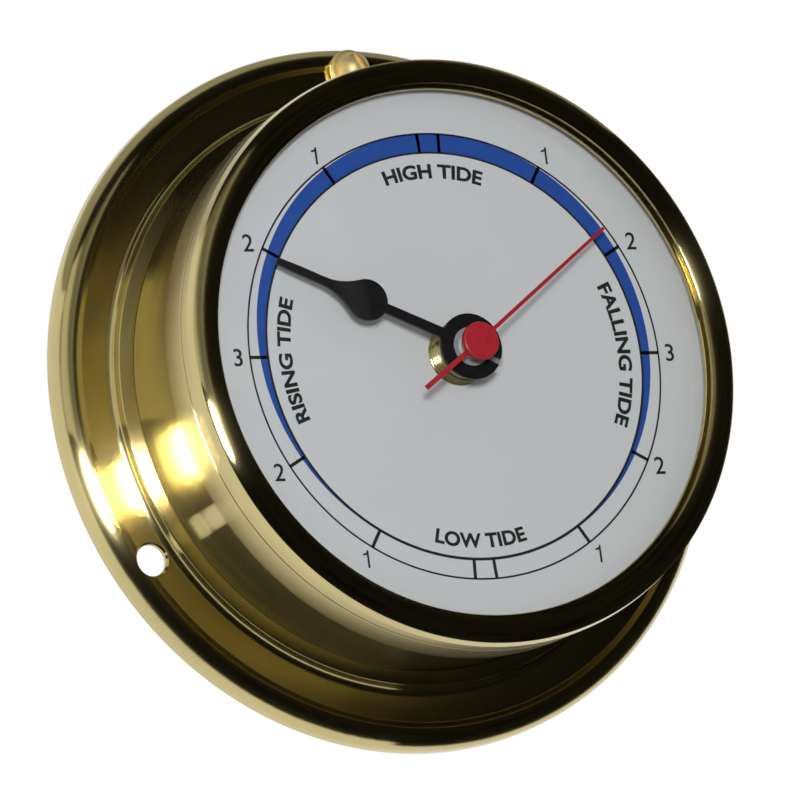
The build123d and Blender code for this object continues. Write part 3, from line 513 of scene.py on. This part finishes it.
def figure(name, text, across, up):
    """Upright figure centred at a place given as shares of the scale's radius."""
    made = flagged_one() if text == "1" else letter_mesh(text, FIGURE_BOLDNESS)
    mesh, left, right, bottom, top = made
    scale = FIGURE_HEIGHT / (top - bottom)
    for vert in mesh.vertices:
        x = across * SCALE_RADIUS + (vert.co.x - (left + right) / 2) * scale
        z = up * SCALE_RADIUS + (vert.co.y - (bottom + top) / 2) * scale
        vert.co = Vector((x, -ink_height(vert.co.z), z)) * MM
    return closed_print(name, mesh)


words = [
    curved_words("words_high_tide", "HIGH TIDE", 0.0, 16.9),
    curved_words("words_falling_tide", "FALLING TIDE", 90.5, 22.7),
    curved_words("words_rising_tide", "RISING TIDE", 269.0, 19.4),
    curved_words("words_low_tide", "LOW TIDE", 180.0, 15.2, tops_outward=False),
]
figures = []
FIGURE_PLACES = (
    ("1", 0.565, 0.90), ("2", 0.94, 0.51), ("3", 1.057, 0.0), ("2", 0.93, -0.51), ("1", 0.567, -0.90),
)
for number, (text, across, up) in enumerate(FIGURE_PLACES):
    figures.append(figure(f"figure_right_{number}", text, across, up))
    figures.append(figure(f"figure_left_{number}", text, -across, up))
black_ink.on(dial_rings, dial_ticks, *words, *figures)

# Movement housing and cover: black moulded plastic with the fine even texture of a spark-eroded
# mould. The cover is held by four plated screws; the knob that sets the hand is of the same stuff.
housing_plastic = Finish("housing_plastic", Specular_IOR_Level=0.45)
moulded = housing_plastic.speckle(1600.0, 5.0)
housing_plastic.paint(housing_plastic.blend(moulded, (0.016, 0.016, 0.017), (0.026, 0.026, 0.027)))
housing_plastic.roughen(housing_plastic.spread(moulded, 0.42, 0.6))
housing_plastic.bump(moulded, 0.00002)
housing_plastic.on(nodes["movement_housing"], nodes["rear_cover"], nodes["setting_knob"])
plated_steel = Finish("plated_steel", Metallic=1.0)
plating = plated_steel.speckle(500.0)
plated_steel.paint(plated_steel.blend(plating, (0.52, 0.52, 0.50), (0.60, 0.60, 0.58)))
plated_steel.roughen(plated_steel.spread(plating, 0.22, 0.38))
plated_steel.on(
    nodes["cover_screws"], nodes["bridge_screws"], nodes["negative_contact"],
    nodes["positive_contact"], nodes["seconds_arbor"], nodes["clutch_spring"],
    nodes["quartz_can"],
)

# Battery: a round cell in a printed plastic jacket, dark over most of its length with a copper
# coloured band at the positive end, and bare steel at both ends.
CELL_HALF = 0.026
BARE_STEEL = (0.45, 0.45, 0.44, 1)
DARK_JACKET = (0.02, 0.02, 0.022, 1)
COPPER_BAND = (0.46, 0.22, 0.08, 1)
JACKET_START = 0.035
COPPER_START = 0.70
JACKET_END = 0.955
jacket = Finish("cell_jacket", Coat_Weight=0.4, Coat_Roughness=0.15)
cell_axes = jacket.add("SeparateXYZ", {"Vector": jacket.place()})
along_cell = jacket.add("MapRange", {
    "Value": cell_axes.outputs["X"], "From Min": -CELL_HALF, "From Max": CELL_HALF,
})
bands = jacket.add("ValToRGB", {"Fac": along_cell.outputs["Result"]})
bands.color_ramp.interpolation = "CONSTANT"
bands.color_ramp.elements[0].color = BARE_STEEL
bands.color_ramp.elements[1].color = DARK_JACKET
bands.color_ramp.elements[1].position = JACKET_START
for position, colour in ((COPPER_START, COPPER_BAND), (JACKET_END, BARE_STEEL)):
    bands.color_ramp.elements.new(position).color = colour
jacket.paint(bands.outputs["Color"])
jacket.roughen(jacket.spread(jacket.speckle(300.0), 0.28, 0.4))
jacket.on(nodes["battery"])

# Quartz circuit: a green board with its chip and crystal can, the stamped iron stator and core,
# a copper winding on a white bobbin, and the two-pole magnet of the rotor.
board_green = Finish("board_green", Coat_Weight=0.3, Coat_Roughness=0.2)
weave = board_green.speckle(2500.0)
board_green.paint(board_green.blend(weave, (0.012, 0.09, 0.04), (0.02, 0.12, 0.055)))
board_green.roughen(board_green.spread(weave, 0.3, 0.45))
board_green.on(nodes["circuit_board"])
chip_black = Finish("chip_black", Specular_IOR_Level=0.4)
chip_grain = chip_black.speckle(3000.0)
chip_black.paint(chip_black.blend(chip_grain, (0.012, 0.012, 0.012), (0.022, 0.022, 0.022)))
chip_black.roughen(chip_black.spread(chip_grain, 0.55, 0.75))
chip_black.on(nodes["board_chip"])
iron = Finish("stamped_iron", Metallic=1.0)
rolled = iron.speckle(800.0)
iron.paint(iron.blend(rolled, (0.30, 0.30, 0.30), (0.38, 0.38, 0.37)))
iron.roughen(iron.spread(rolled, 0.35, 0.5))
iron.on(nodes["stator_plate"], nodes["coil_core"])
magnet_grey = Finish("magnet_grey", Metallic=0.7)
sinter = magnet_grey.speckle(1800.0)
magnet_grey.paint(magnet_grey.blend(sinter, (0.08, 0.08, 0.085), (0.13, 0.13, 0.135)))
magnet_grey.roughen(magnet_grey.spread(sinter, 0.4, 0.6))
magnet_grey.on(nodes["rotor_magnet"])
winding = Finish("copper_winding", Metallic=0.9)
wires = winding.add("TexWave", {"Vector": winding.place(), "Scale": 2400.0}, bands_direction="X")
winding.paint(winding.blend(wires.outputs["Fac"], (0.45, 0.13, 0.04), (0.62, 0.24, 0.09)))
winding.roughen(winding.spread(wires.outputs["Fac"], 0.25, 0.4))
winding.bump(wires.outputs["Fac"], 0.00004)
winding.on(nodes["coil_winding"])

# Train: moulded wheels and pinions in milky white plastic, a white bridge over them, and a brass
# cannon pinion that the clutch spring presses on.
wheel_plastic = Finish("wheel_plastic", Subsurface_Weight=0.15, Specular_IOR_Level=0.45)
cloud = wheel_plastic.speckle(600.0)
wheel_plastic.paint(wheel_plastic.blend(cloud, (0.68, 0.67, 0.62), (0.74, 0.73, 0.69)))
wheel_plastic.roughen(wheel_plastic.spread(cloud, 0.35, 0.5))
wheel_plastic.on(*(nodes[name] for name in (
    "train_bridge", "coil_bobbin", "rotor_pinion", "step_wheel", "seconds_wheel", "third_wheel",
    "centre_wheel", "minute_wheel", "tide_wheel", "setting_pinion",
)))
hub_brass = turned_brass("hub_brass", (0.58, 0.49, 0.24), (0.52, 0.44, 0.21), 0.30, 0.0003)
hub_brass.on(nodes["cannon_pinion"])

# Bush and dial nut: turned brass. The bush passes through the plate and the dial, and the round
# nut, with grooves cut round its edge, clamps the dial to the movement.
hub_brass.on(nodes["threaded_bush"])
NUT_BORE = 4.0
NUT_RADIUS = 5.25
NUT_FOOT = 30.8
NUT_TOP = 34.4
NUT_LEDGE = 0.2
LEDGE_TOP = 31.2
RIDGE_HEIGHTS = (31.75, 32.55, 33.35)
RIDGE_RISE = 0.12
GROOVE_DEPTH = 0.18
RIDGE_PROFILE = (
    (0.0, -0.12), (RIDGE_RISE, -0.02), (RIDGE_RISE, 0.2), (0.0, 0.3), (-GROOVE_DEPTH, 0.42),
)
nut_section = [(NUT_BORE, NUT_FOOT), (NUT_RADIUS + NUT_LEDGE, NUT_FOOT)]
nut_section += [(NUT_RADIUS + NUT_LEDGE, LEDGE_TOP), (NUT_RADIUS, LEDGE_TOP + 0.1)]
for ridge in RIDGE_HEIGHTS:
    for rise, height in RIDGE_PROFILE:
        nut_section.append((NUT_RADIUS + rise, ridge + height))
nut_section += [(NUT_RADIUS - 0.1, 34.05), (NUT_RADIUS - 0.3, NUT_TOP), (NUT_BORE, NUT_TOP)]
dial_nut = spun("dial_nut_turned", nut_section, turns=192)
hub_brass.on(dial_nut)
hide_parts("dial_nut")

# Tide hand: stamped from thin steel and painted satin black, with a hub disc, a drop-shaped blade
# that slopes towards the dial, and a slit from the hub's hole to its edge. A grey collet grips the
# tube of the tide wheel and holds the hand.
hand_black = Finish("hand_black", Specular_IOR_Level=0.35)
black_film = hand_black.speckle(900.0)
hand_black.paint(hand_black.blend(black_film, (0.005, 0.005, 0.006), (0.009, 0.009, 0.011)))
hand_black.roughen(hand_black.spread(black_film, 0.34, 0.46))
HAND_TURN = math.radians(64.6)
HAND_FOOT = 36.1
HAND_THICKNESS = 0.6
HUB_RADIUS = 5.85
HUB_HOLE = 3.45
BULB_PLACE = 20.3
BULB_RADIUS = 3.72
SHAFT_HALF = 0.85
NECK_HALF = 0.75
FLARE_START = 22.3
FLARE_END = 28.6
BLADE_PLACE = 33.8
BLADE_HALF = 0.73
HAND_END = 37.6
TIP_HALF = 0.58
HAND_SLOPE = 0.0703
HUB_STEPS = 57
BULB_STEPS = 30
FLARE_STEPS = 12
half_outline = []
for step in range(HUB_STEPS):
    angle = math.radians(177 - 3 * step)
    half_outline.append((HUB_RADIUS * math.cos(angle), HUB_RADIUS * math.sin(angle)))
bulb_end = math.acos((FLARE_START - BULB_PLACE) / BULB_RADIUS)
bulb_start = math.pi - math.asin(SHAFT_HALF / BULB_RADIUS)
for step in range(BULB_STEPS + 1):
    angle = bulb_start + (bulb_end - bulb_start) * step / BULB_STEPS
    half_outline.append((BULB_PLACE + BULB_RADIUS * math.cos(angle), BULB_RADIUS * math.sin(angle)))
flare_half = BULB_RADIUS * math.sin(bulb_end)
for step in range(1, FLARE_STEPS + 1):
    share = step / FLARE_STEPS
    place = FLARE_START + (FLARE_END - FLARE_START) * share
    half_outline.append((place, NECK_HALF + (flare_half - NECK_HALF) * (1 - share) ** 2))
half_outline += [(BLADE_PLACE, BLADE_HALF), (HAND_END, TIP_HALF)]
hand_mesh = bmesh.new()
hand_rows = []
for along, half in half_outline:
    foot = HAND_FOOT - HAND_SLOPE * max(0.0, along - HUB_RADIUS)
    top = foot + HAND_THICKNESS
    row = []
    for across, height in ((half, top), (-half, top), (-half, foot), (half, foot)):
        x = -along * math.sin(HAND_TURN) + across * math.cos(HAND_TURN)
        z = along * math.cos(HAND_TURN) + across * math.sin(HAND_TURN)
        row.append(hand_mesh.verts.new(Vector((x, -height, z)) * MM))
    hand_rows.append(row)
for this, following in zip(hand_rows, hand_rows[1:]):
    for side in range(4):
        after = (side + 1) % 4
        hand_mesh.faces.new((this[side], this[after], following[after], following[side]))
hand_mesh.faces.new(hand_rows[0])
hand_mesh.faces.new(list(reversed(hand_rows[-1])))
tide_hand = mesh_object("tide_hand_stamped", hand_mesh, "tide")
SLIT_LENGTH = 6.5
SLIT_DEPTH = 4.0
SLIT_WIDTH = 1.2
SLIT_HEIGHT = 36.4
SLIT_TURN = math.radians(29)
slit = bmesh.new()
bmesh.ops.create_cube(slit, size=1.0)
slit_size = Matrix.Diagonal((SLIT_LENGTH * MM, SLIT_DEPTH * MM, SLIT_WIDTH * MM, 1.0))
slit_place = Matrix.Translation((SLIT_LENGTH / 2 * MM, -SLIT_HEIGHT * MM, 0.0))
slit_turn = Matrix.Rotation(SLIT_TURN, 4, "Y")
bmesh.ops.transform(slit, matrix=slit_turn @ slit_place @ slit_size, verts=slit.verts)
PUNCH_FROM = 34.0
PUNCH_TO = 38.5
hub_section = [
    (0.0, PUNCH_FROM), (HUB_HOLE, PUNCH_FROM), (HUB_HOLE, PUNCH_TO), (0.0, PUNCH_TO),
]
hub_cutter = spun("hub_cutter", hub_section, body=None, turns=96)
cut_away(tide_hand, [hub_cutter, mesh_object("slit_cutter", slit, None)])
hand_black.on(tide_hand)
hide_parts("tide_hand")
collet_grey = Finish("collet_grey", Specular_IOR_Level=0.5)
collet_grain = collet_grey.speckle(900.0)
collet_grey.paint(collet_grey.blend(collet_grain, (0.26, 0.27, 0.28), (0.33, 0.34, 0.35)))
collet_grey.roughen(collet_grey.spread(collet_grain, 0.3, 0.42))
collet_grey.on(nodes["tide_collet"])

# Seconds hand: a thin painted steel blade with a wider tail, and a round turned cap in the same
# red, whose tube presses on the seconds arbor.
hand_red = Finish("hand_red", Coat_Weight=0.25, Coat_Roughness=0.2)
red_film = hand_red.speckle(800.0)
hand_red.paint(hand_red.blend(red_film, (0.40, 0.009, 0.020), (0.45, 0.012, 0.026)))
hand_red.roughen(hand_red.spread(red_film, 0.32, 0.45))
CAP_RADIUS = 3.35
CAP_FOOT = 39.5
CAP_TOP = 40.7
TUBE_BORE = 0.45
TUBE_RADIUS = 1.0
TUBE_FOOT = 38.0
cap_section = eased_section([
    ((0.0, CAP_FOOT), 0),
    ((CAP_RADIUS, CAP_FOOT), 0.15),
    ((CAP_RADIUS, CAP_TOP), 0.3),
    ((0.0, CAP_TOP), 0),
])
seconds_cap = spun("seconds_cap_turned", cap_section, body="seconds", turns=160)
tube_section = [
    (TUBE_BORE, TUBE_FOOT), (TUBE_RADIUS, TUBE_FOOT), (TUBE_RADIUS, CAP_FOOT), (TUBE_BORE, CAP_FOOT),
]
cap_tube = spun("seconds_cap_tube", tube_section, body="seconds", turns=48)
hand_red.on(nodes["seconds_hand"], seconds_cap, cap_tube)
for piece in (seconds_cap, cap_tube):
    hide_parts("seconds_cap")

# Gasket and crystal: a black ring, then a dome of clear glass with a flat ground rim. Its outer
# and inner faces share one centre, so the glass is equally thick all over.
gasket_rubber.on(nodes["crystal_gasket"])
GLASS_FRONT = 45.8
OUTER_DOME = 92.92
INNER_DOME = 90.92
DOME_CENTRE = GLASS_FRONT - OUTER_DOME
DOME_STEPS = 64
RIM_FOOT = 31.5
RIM_TOP = 33.5
RIM_RADIUS = 49.6
RIM_GRIND = 0.2


def dome_points(radius, reach):
    """Points of one face of the dome, from its middle out to a distance from the axis."""
    points = []
    for step in range(DOME_STEPS + 1):
        across = reach * step / DOME_STEPS
        points.append((across, DOME_CENTRE + math.sqrt(radius**2 - across**2)))
    return points


inner_reach = math.sqrt(INNER_DOME**2 - (RIM_FOOT - DOME_CENTRE) ** 2)
outer_reach = math.sqrt(OUTER_DOME**2 - (RIM_TOP - DOME_CENTRE) ** 2)
crystal_section = dome_points(OUTER_DOME, outer_reach)
crystal_section += [(RIM_RADIUS - RIM_GRIND, RIM_TOP), (RIM_RADIUS, RIM_TOP - RIM_GRIND)]
crystal_section += [(RIM_RADIUS, RIM_FOOT + RIM_GRIND), (RIM_RADIUS - RIM_GRIND, RIM_FOOT)]
crystal_section += list(reversed(dome_points(INNER_DOME, inner_reach)))
crystal = spun("crystal_dome", crystal_section, turns=256)
glass = Finish("crystal_glass")
clear = glass.add("BsdfTransparent", {"Color": (0.985, 0.99, 0.99, 1)})
smear = glass.speckle(60.0, 4.0)
mirror = glass.add("BsdfGlossy", {"Color": (1, 1, 1, 1), "Roughness": glass.spread(smear, 0.0, 0.03)})
edge_on = glass.add("Fresnel", {"IOR": 1.28})
entering = glass.reckon("SUBTRACT", 1.0, glass.add("NewGeometry").outputs["Backfacing"])
shine = glass.reckon("MULTIPLY", edge_on.outputs[0], entering)
glass_mix = glass.add("MixShader", {0: shine, 1: clear.outputs[0], 2: mirror.outputs[0]})
glass.links.new(glass_mix.outputs[0], glass.nodes["Material Output"].inputs["Surface"])
glass.nodes.remove(glass.shader)
glass.on(crystal)
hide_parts("crystal")

# Bezel: a turned brass ring that screws on in front of the barrel's band, with a fine seam between
# them. Its front is rounded over, and a small bead inside it holds the edge of the glass.
THREAD_RADIUS = 49.85
BEZEL_FOOT = 30.36
BESIDE_FOOT = (52.16, 30.65)
BEZEL_SHOULDER = (52.25, 33.3)
FRONT_START = (51.95, 34.92)
GLASS_LEDGE = 33.55
BEAD_BORE = 46.85
FRONT_MIDDLE = (49.35, 31.10)
FRONT_RADIUS = 4.65
FRONT_FROM = 55.9
FRONT_TO = 110.2
FRONT_STEPS = 24
bezel_section = eased_section([
    ((THREAD_RADIUS, BEZEL_FOOT), 0),
    ((SEAM_RADIUS, BEZEL_FOOT), 0.12),
    (BESIDE_FOOT, 0),
    (BEZEL_SHOULDER, 1.1),
    (FRONT_START, 0),
], 8)
for step in range(1, FRONT_STEPS + 1):
    angle = math.radians(FRONT_FROM + (FRONT_TO - FRONT_FROM) * step / FRONT_STEPS)
    radius = FRONT_MIDDLE[0] + FRONT_RADIUS * math.cos(angle)
    bezel_section.append((radius, FRONT_MIDDLE[1] + FRONT_RADIUS * math.sin(angle)))
bezel_section += eased_section([
    ((47.62, 35.40), 0),
    ((47.50, 34.15), 0.12),
    ((47.40, 34.12), 0),
], 4)
bezel_section += [(47.36, 34.3), (47.2, 34.42), (47.0, 34.4), (46.87, 34.25), (BEAD_BORE, 34.1)]
bezel_section += [(BEAD_BORE, GLASS_LEDGE), (THREAD_RADIUS, GLASS_LEDGE)]
bezel = spun("bezel_turned", bezel_section)
case_brass.on(bezel)
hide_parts("bezel_ring")

# Wall screw: a brass wood screw with a domed slotted head, in the top hole of the flange. The
# other two holes are left open. Its point would go into the wall, so the shank ends at the wall.
SCREW_AXIS = (0.2, 58.7)
SHANK_RADIUS = 1.5
SHANK_END = 0.3
HEAD_RADIUS = 3.1
HEAD_FOOT = 6.1
HEAD_RISE = 3.2
HEAD_STEPS = 18
UNDER_HEAD = HEAD_FOOT - 0.2
WASHER_BORE = 1.7
WASHER_RADIUS = 3.8
WASHER_FOOT = 4.82
WASHER_TOP = 5.9
SLOT_LENGTH = 8.0
SLOT_DEPTH = 2.4
SLOT_WIDTH = 1.1
SLOT_HEIGHT = 9.4
SLOT_OFFSET = 0.4
SLOT_TURN = math.radians(62)
head_section = [(0.0, SHANK_END), (SHANK_RADIUS, SHANK_END)]
head_section += [(SHANK_RADIUS, UNDER_HEAD), (HEAD_RADIUS - 0.2, UNDER_HEAD)]
for step in range(HEAD_STEPS):
    angle = math.radians(90 * step / HEAD_STEPS)
    head_section.append((HEAD_RADIUS * math.cos(angle), HEAD_FOOT + HEAD_RISE * math.sin(angle)))
head_section.append((0.0, HEAD_FOOT + HEAD_RISE))
washer_section = eased_section([
    ((WASHER_BORE, WASHER_FOOT), 0),
    ((WASHER_RADIUS, WASHER_FOOT), 0.1),
    ((WASHER_RADIUS, WASHER_TOP), 0.3),
    ((WASHER_BORE, WASHER_TOP), 0),
], 4)
screw_washer = spun("screw_washer", washer_section, turns=96, axis=SCREW_AXIS)
wall_screw = spun("wall_screw", head_section, turns=128, axis=SCREW_AXIS)
slot = bmesh.new()
bmesh.ops.create_cube(slot, size=1.0)
slot_turn = Matrix.Rotation(SLOT_TURN, 4, "Y")
slot_size = Matrix.Diagonal((SLOT_LENGTH * MM, SLOT_DEPTH * MM, SLOT_WIDTH * MM, 1.0))
slot_middle = Vector((SCREW_AXIS[0] + SLOT_OFFSET, -SLOT_HEIGHT, SCREW_AXIS[1]))
slot_place = Matrix.Translation(slot_middle * MM)
bmesh.ops.transform(slot, matrix=slot_place @ slot_turn @ slot_size, verts=slot.verts)
cut_away(wall_screw, [mesh_object("slot_cutter", slot, None)])
screw_brass = Finish("screw_brass", Metallic=0.8)
wear = screw_brass.speckle(260.0, 4.0)
screw_brass.paint(screw_brass.blend(wear, (0.80, 0.62, 0.30), (0.68, 0.52, 0.24)))
screw_brass.roughen(screw_brass.spread(wear, 0.42, 0.55))
screw_brass.on(wall_screw, screw_washer)

# Studio: a pale floor far below the clock, and white surroundings. Shiny surfaces alone also see a
# dark cloth in front and at the right, a glowing buff screen at the left and a dim grey glowing
# ceiling. A softbox beside the camera lights the clock, and a lamp in the same place gleams on
# the brass.
FLOOR_LEVEL = -1.2
FLOOR_SIZE = 6.0
FLOOR_GLOW = 0.55
floor_mesh = bmesh.new()
bmesh.ops.create_grid(floor_mesh, x_segments=1, y_segments=1, size=FLOOR_SIZE)
bmesh.ops.translate(floor_mesh, verts=floor_mesh.verts, vec=(0, 0, FLOOR_LEVEL))
floor = mesh_object("studio_floor", floor_mesh, None)
floor_paint = Finish("floor_paint", Roughness=0.8, Specular_IOR_Level=0.2)
floor_paint.paint(floor_paint.blend(floor_paint.speckle(3.0), (0.80, 0.80, 0.79), (0.82, 0.82, 0.81)))
seen_directly = floor_paint.add("LightPath").outputs["Is Camera Ray"]
floor_glow = floor_paint.reckon("MULTIPLY", seen_directly, FLOOR_GLOW)
floor_paint.links.new(floor_glow, floor_paint.shader.inputs["Emission Strength"])
floor_paint.on(floor)
floor.visible_glossy = False

STUDIO_RADIUS = 1.15
TENT_TURNS = 144
TENT_RINGS = 72


def hung_round_clock(name, covers):
    """Part of a sphere round the clock, seen only by shiny surfaces, where covers() is true."""
    mesh_data = bmesh.new()
    bmesh.ops.create_uvsphere(
        mesh_data, u_segments=TENT_TURNS, v_segments=TENT_RINGS, radius=STUDIO_RADIUS
    )
    bare = [face for face in mesh_data.faces if not covers(face.calc_center_median().normalized())]
    bmesh.ops.delete(mesh_data, geom=bare, context="FACES")
    hung = mesh_object(name, mesh_data, None)
    hung.visible_camera = False
    hung.visible_diffuse = False
    hung.visible_shadow = False
    hung.visible_transmission = False
    return hung


def on_screen(way):
    """In front at the left, from just above the clock to halfway up."""
    return way.y < -0.3 and way.x < 0.0 and 0.1 < way.z < 0.66


def on_cloth(way):
    """All of the front that the screen leaves free, and the low part of the right side."""
    at_the_right = way.x > 0.3 and way.z < 0.6 and way.y < 0.15
    return (way.y < -0.2 or at_the_right) and not on_screen(way)


def on_ceiling(way):
    """Overhead and behind, above the wall."""
    return way.z > 0.6 and -0.2 <= way.y < 0.7


cloth = hung_round_clock("studio_cloth", on_cloth)
cloth_black = Finish("cloth_black", Roughness=0.95, Specular_IOR_Level=0.0)
# The cloth's lighter and darker patches are painted light and shade of folds, not folds in the mesh.
fold_shade = cloth_black.speckle(4.0)
cloth_black.paint(cloth_black.blend(fold_shade, (0.006, 0.006, 0.006), (0.035, 0.034, 0.03)))
cloth_black.on(cloth)
screen = hung_round_clock("studio_screen", on_screen)
SCREEN_LEFT = -1.1
SCREEN_RIGHT = 0.3
screen_buff = Finish("screen_buff", Roughness=0.9, Specular_IOR_Level=0.0, Emission_Strength=1.0)
screen_axes = screen_buff.add("SeparateXYZ", {"Vector": screen_buff.place()})
uneven = screen_buff.reckon("MULTIPLY", screen_buff.speckle(3.0), 0.2)
sideways = screen_buff.reckon("ADD", screen_axes.outputs["X"], uneven)
across_screen = screen_buff.add("MapRange", {
    "Value": sideways, "From Min": SCREEN_LEFT, "From Max": SCREEN_RIGHT,
})
glow = screen_buff.add("ValToRGB", {"Fac": across_screen.outputs["Result"]})
ramp = glow.color_ramp
ramp.elements[0].color = (0.56, 0.55, 0.50, 1)
ramp.elements[0].position = 0.42
ramp.elements[1].color = (0.02, 0.02, 0.018, 1)
ramp.elements[1].position = 0.87
for position, light in ((0.50, 0.15), (0.75, 0.15), (0.79, 0.42), (0.82, 0.42)):
    ramp.elements.new(position).color = (light, light * 0.97, light * 0.86, 1)
screen_buff.paint(glow.outputs["Color"])
screen_buff.links.new(glow.outputs["Color"], screen_buff.shader.inputs["Emission Color"])
screen_buff.on(screen)
ceiling = hung_round_clock("studio_ceiling", on_ceiling)
# The ceiling glows: its dim grey is emitted light that only shiny surfaces see, not a painted grey.
ceiling_glow = Finish("ceiling_glow", Roughness=0.9, Specular_IOR_Level=0.0, Emission_Strength=1.0)
dusk = ceiling_glow.blend(ceiling_glow.speckle(3.0), (0.22, 0.22, 0.19), (0.36, 0.36, 0.32))
ceiling_glow.paint(dusk)
ceiling_glow.links.new(dusk, ceiling_glow.shader.inputs["Emission Color"])
ceiling_glow.on(ceiling)

KEY_DIRECTION = Vector((-0.431, -0.903, -0.027))
CLOCK_MIDDLE = Vector((0.0, -0.03, 0.0))
LAMP_SIZE = 0.16
KEY_POWER = 6.3
GLEAM_POWER = 28.0


def softbox(name, direction, distance, size, power):
    """Square lamp that faces the clock from a direction."""
    lamp = bpy.data.lights.new(name, "AREA")
    lamp.size = size
    lamp.energy = power
    holder = bpy.data.objects.new(name, lamp)
    holder.location = CLOCK_MIDDLE + direction.normalized() * distance
    holder.rotation_euler = direction.to_track_quat("Z", "Y").to_euler()
    bpy.context.scene.collection.objects.link(holder)
    return holder


key = softbox("key_softbox", KEY_DIRECTION, 1.0, LAMP_SIZE, KEY_POWER)
gleam = softbox("gleam_lamp", KEY_DIRECTION, 0.99, LAMP_SIZE, GLEAM_POWER)
gleam.visible_diffuse = False
unlit = bpy.data.collections.new("unlit_by_key")
unlit.objects.link(crystal)
unlit.collection_objects[0].light_linking.link_state = "EXCLUDE"
key.light_linking.receiver_collection = unlit
gleaming = bpy.data.collections.new("lit_by_gleam")
for piece in (case_flange, case_barrel):
    gleaming.objects.link(piece)
gleam.light_linking.receiver_collection = gleaming

# The surroundings look white to the camera and in mirrors and glass, but light the clock dimly.
DIM_SURROUNDINGS = 0.3
world = bpy.data.worlds.new("studio_world")
bpy.context.scene.world = world
world.use_nodes = True
sky = world.node_tree.nodes
sky_links = world.node_tree.links
rays = sky.new("ShaderNodeLightPath")
seen = sky.new("ShaderNodeMath")
seen.operation = "MAXIMUM"
sky_links.new(rays.outputs["Is Camera Ray"], seen.inputs[0])
sky_links.new(rays.outputs["Is Glossy Ray"], seen.inputs[1])
shown = sky.new("ShaderNodeMath")
shown.operation = "MAXIMUM"
sky_links.new(seen.outputs[0], shown.inputs[0])
sky_links.new(rays.outputs["Is Transmission Ray"], shown.inputs[1])
white_or_dim = sky.new("ShaderNodeMapRange")
sky_links.new(shown.outputs[0], white_or_dim.inputs["Value"])
white_or_dim.inputs["To Min"].default_value = DIM_SURROUNDINGS
white_or_dim.inputs["To Max"].default_value = 1.0
background = sky["Background"]
background.inputs["Color"].default_value = (1, 1, 1, 1)
sky_links.new(white_or_dim.outputs["Result"], background.inputs["Strength"])
bpy.context.scene.view_settings.view_transform = "Standard"

# Camera: far off with a long lens, low and to the left of the clock, as in the photograph.
SENSOR_WIDTH = 36.0
LENS_LENGTH = 395.4
FARTHEST_SEEN = 20.0
CAMERA_PLACE = (
    (0.88866, 0.01289, -0.45838, -0.70305),
    (-0.44044, -0.25432, -0.86101, -1.3287),
    (-0.12767, 0.96703, -0.22032, -0.33997),
    (0.0, 0.0, 0.0, 1.0),
)
camera_data = bpy.data.cameras.new("camera")
camera_data.sensor_width = SENSOR_WIDTH
camera_data.lens = LENS_LENGTH
camera_data.clip_end = FARTHEST_SEEN
camera = bpy.data.objects.new("camera", camera_data)
camera.matrix_world = Matrix(CAMERA_PLACE)
bpy.context.scene.collection.objects.link(camera)
bpy.context.scene.camera = camera
